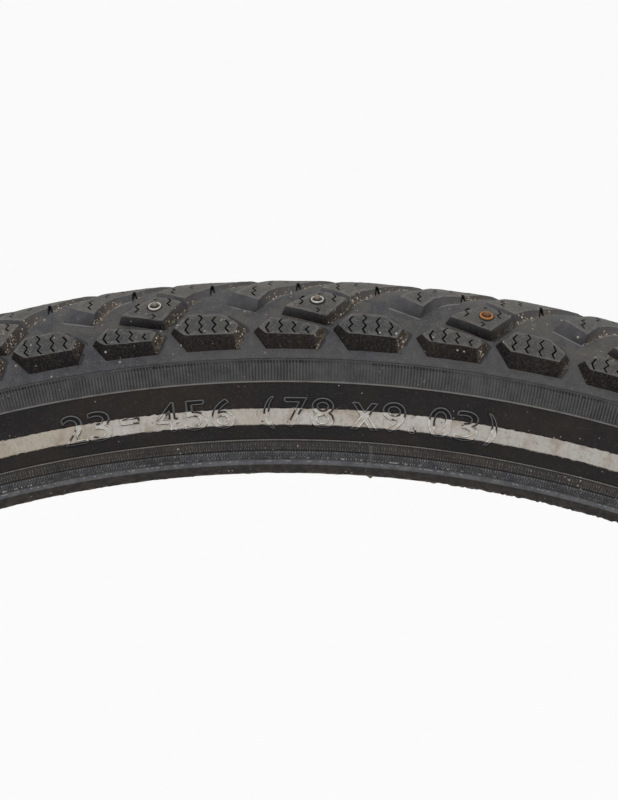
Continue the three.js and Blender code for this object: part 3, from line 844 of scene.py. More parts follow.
def lettering_material():
    m, nt = new_material("raised_characters")
    N = Nodes(nt)
    f = N.frame()
    p, r = f["p"], f["r"]
    fine = N.noise(p, 1100.0, 2.0, 0.6)
    blot = N.noise(p, 240.0, 2.0, 0.6)
    # painted light and shade by facing: ridge sides that face out are painted grey, those that face down near black on
    # the dark band and brown on the strip
    facing_out = N.ramp(f["nr"], -0.44, -0.16)
    on = N.math("MULTIPLY", N.ramp(r, 291.75 * MM, 291.95 * MM), N.ramp(r, 296.05 * MM, 295.85 * MM))
    black = N.mix(facing_out, (0.004, 0.004, 0.004), N.mix(fine, (0.095, 0.094, 0.095), (0.190, 0.187, 0.186)))
    # rubber shows through where the strip has worn off the ridges, more towards its upper edge
    white = N.mix(N.ramp(fine, 0.35, 0.65), (0.78, 0.76, 0.72), (0.50, 0.44, 0.37))
    bare = N.ramp(N.math("ADD", blot, N.math("MULTIPLY", N.ramp(r, 293.2 * MM, 295.6 * MM), 0.16)), 0.60, 0.65)
    white = N.mix(bare, white, (0.024, 0.020, 0.018))
    shade = N.mix(N.ramp(blot, 0.42, 0.58), (0.018, 0.014, 0.012), (0.16, 0.12, 0.09))
    white = N.mix(N.ramp(f["nr"], -0.66, -0.44), shade, white)
    # painted shadow: the stroke faces between the ridges are near black on the dark band; on the strip they take the
    # strip's own colour
    face = N.attr("face")
    black = N.mix(face, black, N.mix(fine, (0.003, 0.003, 0.003), (0.010, 0.009, 0.009)))
    white = N.mix(face, white, N.mix(N.ramp(blot, 0.40, 0.62), (0.60, 0.58, 0.545), (0.50, 0.455, 0.40)))
    N.finish(N.mix(on, black, white), 0.6, [(fine, 0.3, 0.0001)], spec=0.25)
    return m


def fabric_material(name, dark, light, scale=1500.0, rough=0.85):
    """Rubberised cord fabric: two crossed sets of fine threads."""
    m, nt = new_material(name)
    N = Nodes(nt)
    f = N.frame()
    p = f["p"]
    ang = N.math("MULTIPLY", N.math("ARCTAN2", N.vec("DOT_PRODUCT", p, (1.0, 0.0, 0.0)), N.vec("DOT_PRODUCT", p, (0.0, 0.0, 1.0))), 0.30)
    across = N.math("ARCTAN2", f["y"], N.math("SUBTRACT", f["r"], 0.300))
    across = N.math("MULTIPLY", across, 0.020)
    a = N.math("SINE", N.math("MULTIPLY", N.math("ADD", ang, across), scale * 4))
    b = N.math("SINE", N.math("MULTIPLY", N.math("SUBTRACT", ang, across), scale * 4))
    w = N.math("MAXIMUM", a, N.math("MULTIPLY", b, 0.7))
    blot = N.noise(p, 60.0, 3.0, 0.6)
    fine = N.noise(p, 1200.0, 2.0, 0.6)
    col = N.mix(N.ramp(w, -0.6, 0.8), dark, light)
    col = N.mix(N.ramp(blot, 0.45, 0.75, 0.0, 0.5), col, tuple(0.6 * c for c in dark))
    col = N.mix(N.ramp(fine, 0.6, 0.8, 0.0, 0.5), col, tuple(min(1, 1.6 * c) for c in light))
    N.finish(col, rough, [(w, 0.5, 0.00012), (fine, 0.3, 0.0001)], spec=0.3)
    return m


def plain_rubber(name, c0, c1):
    m, nt = new_material(name)
    N = Nodes(nt)
    f = N.frame()
    a, b = N.noise(f["p"], 300.0, 3.0, 0.6), N.noise(f["p"], 2000.0, 1.0)
    N.finish(N.mix(N.ramp(a, 0.3, 0.7), c0, c1), N.ramp(b, 0.3, 0.7, 0.6, 0.85), [(b, 0.3, 0.0001)], spec=0.3)
    return m


def steel_material(name, base, rust, rusty_attr=None):
    m, nt = new_material(name)
    N = Nodes(nt)
    f = N.frame()
    p = f["p"]
    fine, blot = N.noise(p, 1900.0, 2.0, 0.6), N.noise(p, 600.0, 2.0, 0.6)
    r = N.attr(rusty_attr) if rusty_attr else 0.15
    k = N.ramp(N.math("ADD", N.math("MULTIPLY", r, 0.9), N.math("MULTIPLY", blot, 0.6)), 0.55, 0.95)
    pin = N.attr("pin") if rusty_attr else 0.0
    clean = N.mix(N.ramp(fine, 0.3, 0.7), base, tuple(0.7 * c for c in base))
    clean = N.mix(N.math("MULTIPLY", pin, 0.9), clean, N.mix(N.ramp(fine, 0.35, 0.65), (0.20, 0.155, 0.115), (0.10, 0.08, 0.065)))
    rusty = N.mix(N.math("MULTIPLY", pin, 0.75), N.mix(fine, rust, tuple(0.55 * c for c in rust)), (0.11, 0.07, 0.045))
    metal = N.math("MULTIPLY", N.ramp(k, 0.0, 1.0, 1.0, 0.15), N.math("MULTIPLY_ADD", pin, -0.45, 1.0))
    col = N.mix(k, clean, rusty)
    if rusty_attr:
        # painted shade, with some rust, in the recess round the pin's base
        col = N.mix(N.math("MULTIPLY", N.attr("pit"), 0.85), col, (0.022, 0.016, 0.013))
    N.finish(col, N.ramp(k, 0.0, 1.0, 0.34, 0.75), [(fine, 0.15, 0.00004)], metallic=metal, spec=0.5)
    return m


tread_mat = tread_material()
side_mat = sidewall_material()
chafer_mat = chafer_material()
strip_mat = strip_material()
letter_mat = lettering_material()
casing_mat = fabric_material("casing_cord_fabric", (0.050, 0.044, 0.038), (0.105, 0.092, 0.078))
outer_ply_mat = fabric_material("casing_cord_fabric_outer", (0.06, 0.053, 0.046), (0.12, 0.105, 0.09))
belt_mat = plain_rubber("belt_rubber", (0.20, 0.13, 0.05), (0.30, 0.21, 0.09))
filler_mat = plain_rubber("filler_rubber", (0.022, 0.022, 0.023), (0.035, 0.034, 0.034))
bead_mat = steel_material("bead_wire_brass_coated", (0.55, 0.46, 0.28), (0.25, 0.12, 0.05))
stud_mat = steel_material("stud_steel_worn", (0.66, 0.64, 0.58), (0.62, 0.25, 0.065), "rust")

# ------------------------------------------------------------------ tread base: shoulder strip, groove floor, inner face
def tread_base():
    phis = np.linspace(1.354, 0.0, 34)
    ft = floor_t(phis)
    outer = np.stack([R_CENTRE + (BASE_RAD + (TOP_RAD - BASE_RAD) * ft) * np.cos(phis),
                      (BASE_AX + (TOP_AX - BASE_AX) * ft) * np.sin(phis)], -1)
    foot = np.array([(308.14, 22.80), (308.22, 22.96), (308.40, 23.00), (308.9, 22.86), (309.7, 22.42), (310.4, 21.8)])
    outer = np.concatenate([foot[:-1], outer])
    inner = np.concatenate([[(307.95, 21.55)], under(CASE - GAP, np.linspace(1.1, 0.80, 3)), under(TREAD_T, np.linspace(0.80, 0.0, 5))])
    prof = np.concatenate([outer, [[r, -y] for r, y in outer[-2::-1]], [[r, -y] for r, y in inner], inner[-2::-1]])
    v, q = turn(prof, 1050)
    r = np.hypot(v[:, 0], v[:, 2])
    sec = np.sqrt(((r - R_CENTRE) / BASE_RAD) ** 2 + (v[:, 1] / BASE_AX) ** 2)
    out = (sec > 0.985) & (r > 307)
    rad = np.stack([v[:, 0] / r, 0 * r, v[:, 2] / r], -1)
    bump = 0.05 * waves(v, 6.0, 71, 10) + 0.03 * waves(v, 2.6, 72, 10)
    v = v + rad * (bump * out * (r > 311))[:, None]
    P = Part()
    phi = np.arctan2(-v[:, 1] / BASE_AX, (r - R_CENTRE) / BASE_RAD)
    P.add(v, q, t=floor_t(phi) * 0.15, grit=0.0, film=0.0, wall=0.0, edge=0.0, sipe=0.0, line=0.0, shade=0.0)
    return P.build("tread_base", tread_mat, "tread_rubber", ["tread"], True, 40)


tread_base()
replicate("centre_blocks_a", a_block, False, tread_mat, seed=3, line=1.0)
replicate("centre_blocks_b", b_block, False, tread_mat, seed=4, line=0.25)
replicate("stud_blocks", stud_block, True, tread_mat, seed=5)
replicate("shoulder_blocks_large", large_block, True, tread_mat, seed=6)
replicate("shoulder_blocks_small", small_block, True, tread_mat, seed=7)


# ------------------------------------------------------------------ studs: flanged body and carbide pin
def studs():
    prof_body = [(0.0, -0.10), (0.70, -0.12), (0.98, -0.10), (1.10, 0.02), (1.24, 0.27), (1.42, 0.36), (1.60, 0.30), (1.69, 0.12), (1.72, -0.1),
                 (1.66, -0.6), (1.5, -1.2), (0.0, -1.2)]
    prof_pin = [(0.0, 1.26), (0.38, 1.24), (0.60, 1.14), (0.74, 0.92), (0.78, 0.3), (0.80, -0.2), (0.0, -0.2)]
    # how far each ring lies in the recess between the flange and the pin, which is painted dark brown: painted shade
    # and some rust
    pit = {0.0: [1.0, 1.0, 1.0, 0.5, 0, 0, 0, 0.3, 0.8, 1.0], 1.0: [0, 0, 0, 0.5, 1.0]}
    seg = 28
    for side, name in ((0, "studs_right"), (1, "studs_left")):
        g = np.random.default_rng(40 + side)
        P, hole_shadow = Part(), Part()
        for k in range(PITCHES):
            shift = {0: (0.40, -0.004), 1: (1.35, 0.018), PITCHES - 1: (0.95, 0.008)}.get(k, tuple(g.normal(0, 1, 2) * (0.35, 0.008)))
            arc = STUD_ARC + k * PITCH_ARC + shift[0]
            a = wrap(arc, STUD_PHI + shift[1], 0.0)
            b = wrap(arc, STUD_PHI + shift[1], 1.0)
            up = up0 = (b - a) / np.linalg.norm(b - a)
            al = np.array([math.cos(arc / R_ARC), 0, -math.sin(arc / R_ARC)])
            ac = np.cross(up, al)
            tilt = g.normal(0, 0.035, 2)
            # the studs lean towards the middle of the tread
            up = up + al * tilt[0] + ac * (tilt[1] + 0.15 * np.sign(ac[1]))
            up /= np.linalg.norm(up)
            al = al - up * (al @ up)
            al /= np.linalg.norm(al)
            ac = np.cross(up, al)
            rust = float(np.clip(g.beta(1.3, 3.2), 0, 1))
            if side == 0 and k in (0, 1, PITCHES - 1):
                rust = {0: 0.28, 1: 0.95, PITCHES - 1: 0.12}[k]
            wear = g.uniform(0.8, 1.0)
            for prof, pin in ((prof_body, 0.0), (prof_pin, 1.0)):
                pr = np.array(prof)
                th = np.arange(seg) * 2 * math.pi / seg
                ring = pr[1:-1]
                z = ring[:, 1] * (wear if pin else 1.0)
                v = (b + al * (ring[:, 0][:, None, None] * np.cos(th)[None, :, None]) + ac * (ring[:, 0][:, None, None] * np.sin(th)[None, :, None])
                     + up * z[:, None, None]).reshape(-1, 3)
                top = b + up * pr[0, 1] * (wear if pin else 1.0)
                bot = b + up * pr[-1, 1]
                n = len(v)
                v = np.concatenate([v, [top], [bot]])
                i = np.arange(seg)
                j = (i + 1) % seg
                quads = [np.stack([l * seg + i, (l + 1) * seg + i, (l + 1) * seg + j, l * seg + j], -1) for l in range(len(ring) - 1)]
                tris = np.concatenate([np.stack([np.full(seg, n), i, j], -1),
                                       np.stack([np.full(seg, n + 1), (len(ring) - 1) * seg + j, (len(ring) - 1) * seg + i], -1)])
                if side:
                    v = half_turn(v)
                deep = np.concatenate([np.repeat(pit[pin], seg), [1.0 - pin, 1.0]])
                P.add(v, np.concatenate(quads), tris, rust=rust, pin=pin, pit=deep)
            # painted shadow: a near-black ring round each stud where it sits in its hole
            th = np.arange(seg) * 2 * math.pi / seg
            ring = lambda rad, z: b + al * (rad * np.cos(th))[:, None] + ac * (rad * np.sin(th))[:, None] + up0 * z
            v = np.concatenate([ring(1.55, 0.02), ring(1.88, 0.03), ring(2.02, -0.05)])
            i = np.arange(seg)
            j = (i + 1) % seg
            quads = np.concatenate([np.stack([l * seg + i, (l + 1) * seg + i, (l + 1) * seg + j, l * seg + j], -1) for l in range(2)])
            hole_shadow.add(half_turn(v) if side else v, quads, t=1.0, grit=0.0, film=0.0, wall=0.0, edge=0.0, line=0.0, shade=0.0,
                    sipe=np.repeat([1.0, 1.0, 0.5], seg))
        P.build(name, stud_mat, "stud_steel", [name], True, 40)
        hole_shadow.build("stud_hole_shadow_" + name[6:], tread_mat, "tread_rubber", None, True, 40)


studs()


# ------------------------------------------------------------------ sidewalls, strips, chafers (near side, then the other)
RIBS = 2500


def skin(path_points, seg, back, side, name, mat, slot, nodes, shape=None, sectors=1):
    """A band of the skin: outer path (toe to crown, radius and +Y distance) closed by a back path. shape moves the
    outer points and gives point attributes; the band is built in equal sectors round the tire."""
    outer = np.asarray(path_points, float)
    prof = np.concatenate([outer, np.asarray(back, float)[::-1]])
    n = len(prof)
    per = seg // sectors
    for sec in range(sectors):
        cols = per + (0 if sectors == 1 else 1)
        th = (sec * per + np.arange(cols)) * 2 * math.pi / seg
        R = np.broadcast_to(prof[:, 0], (cols, n)).copy()
        Y = np.broadcast_to(prof[:, 1], (cols, n)).copy()
        T = np.broadcast_to(th[:, None], (cols, n))
        vals = {}
        if shape is not None:
            dr, dy, vals = shape(R[:, :len(outer)], Y[:, :len(outer)], T[:, :len(outer)])
            R[:, :len(outer)] += dr
            Y[:, :len(outer)] += dy
        v = ring_points(R, -Y, T).reshape(-1, 3)
        i = np.arange(per)[:, None] * n
        j = ((np.arange(per) + 1) % cols)[:, None] * n
        k = np.arange(n)[None, :]
        k2 = (k + 1) % n
        quads = np.stack([i + k, j + k, j + k2, i + k2], -1).reshape(-1, 4)
        full = {}
        for key, val in vals.items():
            a = np.zeros((cols, n))
            a[:, :len(outer)] = val
            full[key] = a.ravel()
        if side:
            v = half_turn(v)
        P = Part()
        P.add(v, quads, **full)
        P.build(name + (f"_{sec + 1}" if sectors > 1 else ""), mat, slot, nodes, True, None)


def row_noise(R, T, side, wavelength, seed, n=8):
    pts = np.stack([R * np.sin(T), np.full(R.shape, 50.0 * side), R * np.cos(T)], -1).reshape(-1, 3)
    return waves(pts, wavelength, seed, n).reshape(R.shape)


def sidewalls():
    for side, tag in ((0, "right"), (1, "left")):
        # finely ribbed band: a raised line below, fine ribs, a row of small notches above; painted highlight on the
        # raised line and the rib crests, painted shade in the rib valleys and the notches
        rows = [(302.34, 22.50), (302.40, 22.82), (302.56, 22.92), (302.70, 22.84), (302.80, 22.60)]
        rows += [(rr, 22.60 + 0.40 * (rr - 303.0) / 4.6) for rr in (302.98, 303.9, 304.9, 305.9, 306.85)]
        rows += [(306.98, 22.95), (307.12, 22.97), (307.66, 23.00), (307.78, 23.02)]
        rows += [(308.0, 23.05), (308.09, 22.99), (308.13, 22.82)]
        rows = np.array(rows)

        def ribs(R, Y, T):
            x = (T * RIBS / (2 * math.pi)) % 1.0
            crest = np.where(x < 0.5, 1 - np.abs(x - 0.25) * 4, -1 + np.abs(x - 0.75) * 4)
            inb = (R > 302.9) & (R < 306.95)
            soft = np.clip(1.0 + 0.22 * row_noise(R, T, side, 30.0, 82, 6), 0.6, 1.25)
            soft *= 1 - 0.5 * np.exp(-((T * R_ARC - 9.0) / 13.0) ** 2)
            dy = inb * soft * (0.13 * crest) + 0.03 * row_noise(R, T, side, 9.0, 81, 6)
            pit = ((R > 307.05) & (R < 307.70)) * (x > 0.45)
            deep = np.clip(0.9 + 0.35 * row_noise(R, T, side, 24.0, 93, 6), 0.35, 1.2)
            dy = dy - pit * 0.22 * deep
            edge = ((R < 302.75) & (R > 302.36)) * 1.0 + inb * np.clip(crest, 0, 1) * 0.22 * soft
            valley = inb * np.clip(-crest, 0, 1) * 0.80 * soft + pit * 1.0 * deep
            return 0 * R, dy, {"edge": edge, "valley": np.clip(valley, 0, 1)}

        skin(rows, RIBS * 4, [(302.4, 21.75), (307.6, 21.80)], side, f"sidewall_ribbed_{tag}", side_mat, "sidewall_rubber",
             [f"sidewall_{tag}"], ribs, 4)

        # plain sidewall either side of the reflective strip
        up = rounded_path([(295.95, 20.42), (295.98, 20.80), (296.6, 20.98), (299.2, 21.72), (301.9, 22.44), (302.36, 22.55)], 1)
        down = rounded_path([(288.25, 17.90), (289.5, 18.42), (291.4, 19.16), (291.80, 19.32), (291.84, 18.95)], 1)

        def plain(R, Y, T):
            w = 0.06 * row_noise(R, T, side, 22.0, 83, 8) + 0.02 * row_noise(R, T, side, 4.0, 84, 8)
            return 0 * R, w, {"edge": 0 * R}

        skin(subdivide(up, 0.9), 1200, [(296.0, 19.7), (302.3, 21.4)], side, f"sidewall_upper_{tag}", side_mat, "sidewall_rubber",
             [f"sidewall_{tag}"], plain)
        skin(subdivide(down, 0.9), 1200, [(288.6, 17.5), (291.8, 18.4)], side, f"sidewall_lower_{tag}", side_mat, "sidewall_rubber",
             [f"sidewall_{tag}"], plain)

        # reflective strip, a little wrinkled and ragged along its edges
        path = [(291.80 + (295.98 - 291.80) * k / 10, 19.30 + (20.78 - 19.30) * k / 10) for k in range(11)]
        path = [(291.82, 19.05)] + path + [(295.96, 20.5)]

        def strip(R, Y, T):
            w = 0.035 * row_noise(R, T, side, 3.2, 85, 10) + 0.05 * row_noise(R, T, side, 22.0, 83, 8)
            e = np.minimum(np.abs(R - 291.8), np.abs(R - 295.98))
            jag = (0.07 * row_noise(R, T, side, 1.6, 86, 10) + 0.06 * row_noise(R, T, side, 5.0, 87, 8)) * np.exp(-e / 0.3)
            return jag, w + 0.02, {}

        skin(path, 2400, [(291.95, 18.8), (295.9, 20.2)], side, f"reflective_strip_{tag}", strip_mat, "reflective",
             [f"reflective_strip_{tag}"], strip)

        # chafer weave: ribbed fabric above a groove, a finer band with worn lines below
        h, c = np.array((281.95, 16.24)), np.array((288.2, 17.9))
        rr = np.unique(np.concatenate([np.linspace(281.95, 288.2, 22), [285.2, 285.42, 285.65, 287.6, 287.75, 287.9, 288.05, 283.55, 283.4, 283.7,
                                                                    282.75, 282.1]]))
        rows = [(x, h[1] + (c[1] - h[1]) * (x - h[0]) / (c[0] - h[0])) for x in rr]

        def weave(R, Y, T):
            x = T * 2250 / (2 * math.pi)
            rib = 0.5 + 0.5 * np.cos(2 * math.pi * x)
            rough = np.clip(0.75 + 0.45 * row_noise(R, T, side, 11.0, 88, 8), 0.15, 1.4)
            fine = row_noise(R, T, side, 1.1, 89, 8)
            top = smooth01((R - 285.6) / 0.25) * smooth01((287.75 - R) / 0.2)
            low = smooth01((R - 282.9) / 0.3) * smooth01((285.3 - R) / 0.25)
            row = np.floor((R - 282.9) / 0.60)
            cell = np.sin(math.pi * ((R - 282.9) / 0.60 - row)) ** 2 * (0.5 + 0.5 * np.cos(2 * math.pi * (x + 0.5 * (row % 2))))
            dy = top * rough * 0.09 * rib + low * rough * 0.13 * cell + (top + low) * 0.035 * fine
            dy -= 0.20 * np.exp(-((R - 285.42) / 0.14) ** 2) + 0.12 * np.exp(-((R - 287.75) / 0.10) ** 2)
            for r0, hgt in ((288.05, 0.14), (283.55, 0.13), (281.98, 0.12)):
                dy += hgt * np.exp(-((R - r0) / 0.13) ** 2) * np.clip(0.8 + 0.35 * row_noise(R, T, side, 7.0, 90, 6), 0.2, 1.3)
            flash = np.exp(-((T * R_ARC - 18.9) / 0.34) ** 2)
            dy = dy + flash * 0.30 * (R < 287.4)
            stip = np.clip(top * rib * rough + low * cell * rough + (1 - top - low) * 0.6, 0, 1)
            return 0 * R, dy, {"stipple": stip, "flash": flash * (R < 287.4)}

        skin(rows, 4500, [(282.2, 15.3), (288.36, 17.32)], side, f"chafer_weave_{tag}", chafer_mat, "chafer_fabric",
             [f"chafer_{tag}"], weave, 2)

        # the bare toe below it, slightly ragged along its lip
        out = [(279.95, 12.2), (279.50, 12.75), (279.45, 13.1), (279.75, 13.5), (280.3, 14.2), (280.9, 14.95), (281.45, 15.65), (281.75, 16.02),
               (281.93, 16.22), (282.05, 16.28)]

        def toe(R, Y, T):
            low = smooth01((280.6 - R) / 0.9)
            dr = low * (0.018 * row_noise(R, T, side, 1.4, 91, 10) + 0.030 * row_noise(R, T, side, 7.0, 92, 8))
            nick = np.clip(row_noise(R, T, side, 3.0, 94, 10) - 1.9, 0, 1)
            dr -= low * 0.16 * nick
            # frayed along one stretch
            frayed = smooth01((T * R_ARC - 26.0) / 12.0) * smooth01((120.0 - T * R_ARC) / 25.0)
            dr += low * frayed * 0.09 * row_noise(R * 0 + 279.5, T, side, 1.5, 95, 12)
            flash = np.exp(-((T * R_ARC - 18.9) / 0.34) ** 2)
            dr -= flash * 0.85 * low
            return dr, flash * 0.25 * (R > 280.0), {"stipple": 0.5 + 0 * R, "flash": flash}

        skin(out, 3000, [(280.9, 11.0), (282.2, 11.4), (282.2, 15.4)], side, f"chafer_toe_{tag}", chafer_mat, "chafer_fabric",
             [f"chafer_{tag}"], toe)


sidewalls()


# ------------------------------------------------------------------ inner ply, smooth
def inner_ply():
    def half(level):
        side = offset_path([(289.8, 17.7), (298.7, 19.9), (307.6, 21.7)], level)
        cr = under(CASE + level, np.linspace(0.95, 0.0, 14))
        return np.concatenate([side[:-1], [side[-1]], cr])

    core, cr = (284.2, 13.3), 1.2
    sq = lambda d: [(core[0] + cr + d, core[1] + cr + d), (core[0] - cr - d, core[1] + cr + d), (core[0] - cr - d, core[1] - cr - d),
                    (core[0] + cr + d, core[1] - cr - d)]
    face = np.concatenate([sq(0.15), half(PLY_T + GAP)])
    back_sq = sq(0.15 + PLY_T)
    back_sq[0] = (face[0][0], back_sq[0][1])
    back_sq[3] = (back_sq[3][0] - 0.25, back_sq[3][1])
    back = np.concatenate([back_sq, half(2 * PLY_T + GAP)])
    face_all = np.concatenate([face, [[r, -y] for r, y in face[-2::-1]]])
    back_all = np.concatenate([back, [[r, -y] for r, y in back[-2::-1]]])
    prof = np.concatenate([face_all, back_all[::-1]])
    v, q = turn(prof, 720)
    P = Part()
    P.add(v, q)
    P.build("casing_inner_ply_smooth", casing_mat, "casing_fabric", ["casing_inner_ply"], True, 35)


inner_ply()


# ------------------------------------------------------------------ raised size characters, generic digits
SIDE_PATH = np.array([(311.5, 22.8), (308.0, 23.06), (302.3, 22.72), (296.0, 20.86), (291.8, 19.36), (288.2, 17.95), (281.7, 16.1)])
SIDE_D = np.concatenate([[0], np.cumsum(np.linalg.norm(np.diff(SIDE_PATH, axis=0), axis=1))])


def side_point(arc, d, lift):
    """Point of the near sidewall: arc (measured at R_ARC), distance d down the skin, lift off it."""
    r = np.interp(d, SIDE_D, SIDE_PATH[:, 0])
    y = np.interp(d, SIDE_D, SIDE_PATH[:, 1])
    th = arc / R_ARC
    return np.stack([(r + 0 * th) * np.sin(th), -(y + lift), (r + 0 * th) * np.cos(th)], -1)


def glyph_outlines(text):
    """Closed outlines of one character of the built-in font, in a box one unit high."""
    cu = bpy.data.curves.new("glyph", "FONT")
    cu.body = text
    cu.resolution_u = 5
    cu.fill_mode = "NONE"
    ob = bpy.data.objects.new("glyph", cu)
    bpy.context.scene.collection.objects.link(ob)
    bpy.context.view_layer.update()
    me = ob.to_mesh()
    co = np.array([v.co[:2] for v in me.vertices])
    nxt = {}
    for e in me.edges:
        a, b = e.vertices
        nxt.setdefault(a, []).append(b)
        nxt.setdefault(b, []).append(a)
    loops, seen = [], set()
    for s in nxt:
        if s in seen:
            continue
        loop, cur, prev = [s], s, None
        seen.add(s)
        while True:
            step = [x for x in nxt[cur] if x != prev and x not in seen]
            if not step:
                break
            prev, cur = cur, step[0]
            seen.add(cur)
            loop.append(cur)
        loops.append(co[loop])
    ob.to_mesh_clear()
    bpy.data.objects.remove(ob)
    bpy.data.curves.remove(cu)
    return loops


def characters():
    layout = [("2", -65.4), ("3", -58.3), ("-", -49.4), ("4", -39.9), ("5", -32.2), ("6", -24.8), ("(", -10.6), ("7", -5.0), ("8", 2.2),
              ("x", 13.1), ("9", 21.4), (".", 28.6), ("0", 33.9), ("3", 41.1), (")", 49.4)]
    D_TOP, D_BOT = 13.2, 20.9
    P = {0: Part(), 1: Part()}
    for ch, left in layout:
        loops = glyph_outlines(ch)
        pts = np.concatenate(loops)
        lo_, hi_ = pts.min(0), pts.max(0)
        w = {"-": 4.2, "(": 2.4, ")": 2.4, ".": 1.7, "x": 6.2}.get(ch, 5.3) * R_ARC / 294.0
        top, bot = (D_TOP, D_BOT)
        if ch == "-":
            top, bot = 16.2, 17.5
        if ch == ".":
            top, bot = 19.2, 20.9
        if ch == "x":
            top, bot = 13.9, 20.9
        if ch in "()":
            top, bot = 12.9, 21.3
        outlines = []
        for loop in loops:
            a = left + (loop[:, 0] - lo_[0]) / (hi_[0] - lo_[0]) * w
            d = bot - (loop[:, 1] - lo_[1]) / (hi_[1] - lo_[1]) * (bot - top)
            line = np.stack([a * 294.0 / R_ARC, d], -1)
            # even steps along the outline
            closed = np.vstack([line, line[:1]])
            seg = np.linalg.norm(np.diff(closed, axis=0), axis=1)
            keep = np.concatenate([[True], seg > 1e-6])
            closed = closed[keep]
            s = np.concatenate([[0], np.cumsum(np.linalg.norm(np.diff(closed, axis=0), axis=1))])
            n = max(8, int(s[-1] / 0.28))
            u = np.arange(n) * s[-1] / n
            c = np.stack([np.interp(u, s, closed[:, 0]), np.interp(u, s, closed[:, 1])], -1)
            tan = np.roll(c, -1, 0) - np.roll(c, 1, 0)
            tan /= np.linalg.norm(tan, axis=1)[:, None] + 1e-9
            nor = np.stack([-tan[:, 1], tan[:, 0]], -1)
            prof = [(-0.27, -0.12), (-0.20, 0.22), (-0.08, 0.36), (0.08, 0.36), (0.20, 0.22), (0.27, -0.12)]
            for rep in (0.0, math.pi * R_ARC):
                for side in (0, 1):
                    rings = []
                    for off, lift in prof:
                        q = c + nor * off
                        rings.append(side_point(q[:, 0] * R_ARC / 294.0 + rep, q[:, 1], lift))
                    v = np.stack(rings, 1).reshape(-1, 3)
                    k = len(prof)
                    i = np.arange(n)[:, None] * k
                    j = ((np.arange(n) + 1) % n)[:, None] * k
                    m = np.arange(k)[None, :]
                    m2 = (m + 1) % k
                    quads = np.stack([i + m, j + m, j + m2, i + m2], -1).reshape(-1, 4)
                    if side:
                        v = half_turn(v)
                    e = np.tile([0, 0.5, 1, 1, 0.5, 0], n)
                    P[side].add(v, quads, edge=e, face=0.0)
            outlines.append(c)
        # the face of the strokes, between the ridges; on the dark band it carries a painted shadow
        edges, at = [], 0
        for c in outlines:
            edges += [(at + i, at + (i + 1) % len(c)) for i in range(len(c))]
            at += len(c)
        allp = np.concatenate(outlines)
        gx, gy = np.meshgrid(np.arange(allp[:, 0].min(), allp[:, 0].max(), 0.5), np.arange(allp[:, 1].min(), allp[:, 1].max(), 0.5))
        g = np.stack([gx.ravel(), gy.ravel()], -1)
        hit = sum(inside(g, c).astype(int) for c in outlines) % 2 == 1
        for c in outlines:
            hit &= ~near_line(g, c, 0.2)
        res = delaunay_2d_cdt([Vector(q) for q in np.concatenate([allp, g[hit]])], edges, [], 0, 1e-6)
        cv = np.array([[q.x, q.y] for q in res[0]])
        tri = np.array([q for q in res[2] if len(q) == 3])
        cen = cv[tri].mean(1)
        tri = tri[sum(inside(cen, c).astype(int) for c in outlines) % 2 == 1]
        p0, p1, p2 = cv[tri[:, 0]], cv[tri[:, 1]], cv[tri[:, 2]]
        turned = (p1[:, 0] - p0[:, 0]) * (p2[:, 1] - p0[:, 1]) - (p1[:, 1] - p0[:, 1]) * (p2[:, 0] - p0[:, 0]) > 0
        tri[turned] = tri[turned][:, ::-1]
        for rep in (0.0, math.pi * R_ARC):
            for side in (0, 1):
                v = side_point(cv[:, 0] * R_ARC / 294.0 + rep, cv[:, 1], 0.14)
                P[side].add(half_turn(v) if side else v, None, tri, edge=0.0, face=1.0)
    P[0].build("size_characters_right", letter_mat, "sidewall_rubber", None, True, 60)
    P[1].build("size_characters_left", letter_mat, "sidewall_rubber", None, True, 60)


characters()

# ------------------------------------------------------------------ CAD nodes that stay
for names, mat in ((["casing_outer_ply"], outer_ply_mat), (["puncture_belt"], belt_mat), (["bead_filler_left", "bead_filler_right"], filler_mat),
                   (["bead_wire_left", "bead_wire_right"], bead_mat)):
    for nm in names:
        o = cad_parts[nm]
        o.data.materials.clear()
        o.data.materials.append(mat)

# ------------------------------------------------------------------ floor, light, camera
FLOOR_GLOW = 0.686


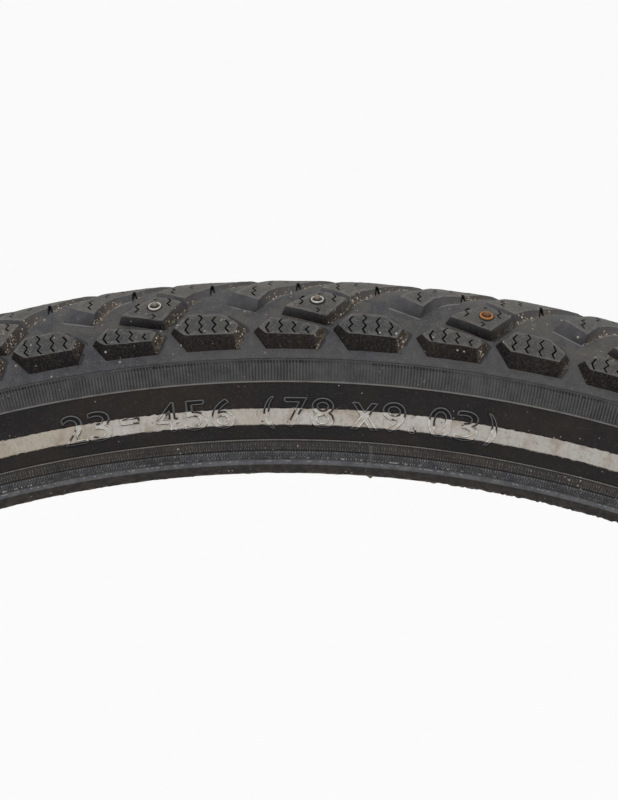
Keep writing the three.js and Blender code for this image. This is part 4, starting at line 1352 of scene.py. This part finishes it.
def floor():
    n, rmax = 96, 14.0
    P = []
    radii = [0.0, 1.0, 3.0, 7.0, rmax]
    verts = [(0, 0, -0.3285)]
    faces = []
    for k, r in enumerate(radii[1:]):
        for i in range(n):
            a = 2 * math.pi * i / n
            verts.append((r * math.cos(a), r * math.sin(a), -0.3285))
    for i in range(n):
        faces.append((0, 1 + i, 1 + (i + 1) % n))
    for k in range(len(radii) - 2):
        b0, b1 = 1 + k * n, 1 + (k + 1) * n
        for i in range(n):
            faces.append((b0 + i, b1 + i, b1 + (i + 1) % n, b0 + (i + 1) % n))
    me = bpy.data.meshes.new("studio_floor")
    me.from_pydata(verts, [], faces)
    m, nt = new_material("studio_floor_pale")
    N = Nodes(nt)
    # seen directly it is an evenly lit pale sweep with a soft shadow; the rubber gets only a little light from it
    light = N.node("ShaderNodeEmission")
    light.inputs["Color"].default_value = (1, 1, 1, 1)
    light.inputs["Strength"].default_value = FLOOR_GLOW
    pale, dim = N.node("ShaderNodeBsdfDiffuse"), N.node("ShaderNodeBsdfDiffuse")
    pale.inputs["Color"].default_value = (0.30, 0.30, 0.30, 1)
    dim.inputs["Color"].default_value = (0.66, 0.66, 0.66, 1)
    seen = N.node("ShaderNodeAddShader")
    nt.links.new(light.outputs[0], seen.inputs[0])
    nt.links.new(pale.outputs[0], seen.inputs[1])
    lp, pick = N.node("ShaderNodeLightPath"), N.node("ShaderNodeMixShader")
    nt.links.new(lp.outputs["Is Camera Ray"], pick.inputs[0])
    nt.links.new(dim.outputs[0], pick.inputs[1])
    nt.links.new(seen.outputs[0], pick.inputs[2])
    out = N.node("ShaderNodeOutputMaterial")
    nt.links.new(pick.outputs[0], out.inputs["Surface"])
    me.materials.append(m)
    o = bpy.data.objects.new("studio_floor", me)
    bpy.context.scene.collection.objects.link(o)


floor()

world = bpy.data.worlds.new("studio")
bpy.context.scene.world = world
world.use_nodes = True
wt = world.node_tree
for n in list(wt.nodes):
    wt.nodes.remove(n)
W = Nodes(wt)
tc = W.node("ShaderNodeTexCoord")
direction = tc.outputs["Generated"]
up_part = W.vec("DOT_PRODUCT", direction, (0.0, 0.0, 1.0))
front_part = W.vec("DOT_PRODUCT", direction, (0.0, -1.0, 0.0))
lit = W.math("ADD", W.ramp(up_part, -0.30, 0.80, 0.50, 0.78), W.math("ADD", W.ramp(front_part, 0.0, 1.0, 0.0, 0.44), W.ramp(front_part, -0.3, -1.0, 0.0, 0.22)))
path = W.node("ShaderNodeLightPath")
strength = W.node("ShaderNodeMix", data_type="FLOAT")
W.plug(strength.inputs[0], path.outputs["Is Camera Ray"])
W.plug(strength.inputs[2], lit)
strength.inputs[3].default_value = 0.955
bg = W.node("ShaderNodeBackground")
bg.inputs["Color"].default_value = (1, 1, 1, 1)
W.plug(bg.inputs["Strength"], strength.outputs[0])
wo = W.node("ShaderNodeOutputWorld")
wt.links.new(bg.outputs[0], wo.inputs["Surface"])


sun_data = bpy.data.lights.new("overhead_bank", "SUN")
sun_data.energy = 0.22
sun_data.angle = math.radians(50)
sun = bpy.data.objects.new("overhead_bank", sun_data)
bpy.context.scene.collection.objects.link(sun)
sun.rotation_mode = "QUATERNION"
sun.rotation_quaternion = Vector((0.35, 0.10, -1.0)).to_track_quat("-Z", "Y")

cam_data = bpy.data.cameras.new("camera")
cam = bpy.data.objects.new("camera", cam_data)
bpy.context.scene.collection.objects.link(cam)
fwd = Vector((-0.04183503, 0.99742833, -0.05819414))
right = Vector((0.99897977, 0.04274942, 0.01455711))
upv = Vector((-0.01700743, 0.05752577, 0.99819914))
rot = Matrix((right, upv, -fwd)).transposed()
cam.rotation_mode = "QUATERNION"
cam.rotation_quaternion = rot.to_quaternion()
cam.location = (0.0253196, -0.5938618, 0.3314335)
cam_data.sensor_width = 36.0
cam_data.sensor_fit = "AUTO"
cam_data.lens = 106.46
cam_data.clip_start, cam_data.clip_end = 0.02, 60.0
cam_data.dof.use_dof = False
bpy.context.scene.camera = cam
bpy.context.scene.view_settings.view_transform = "Standard"
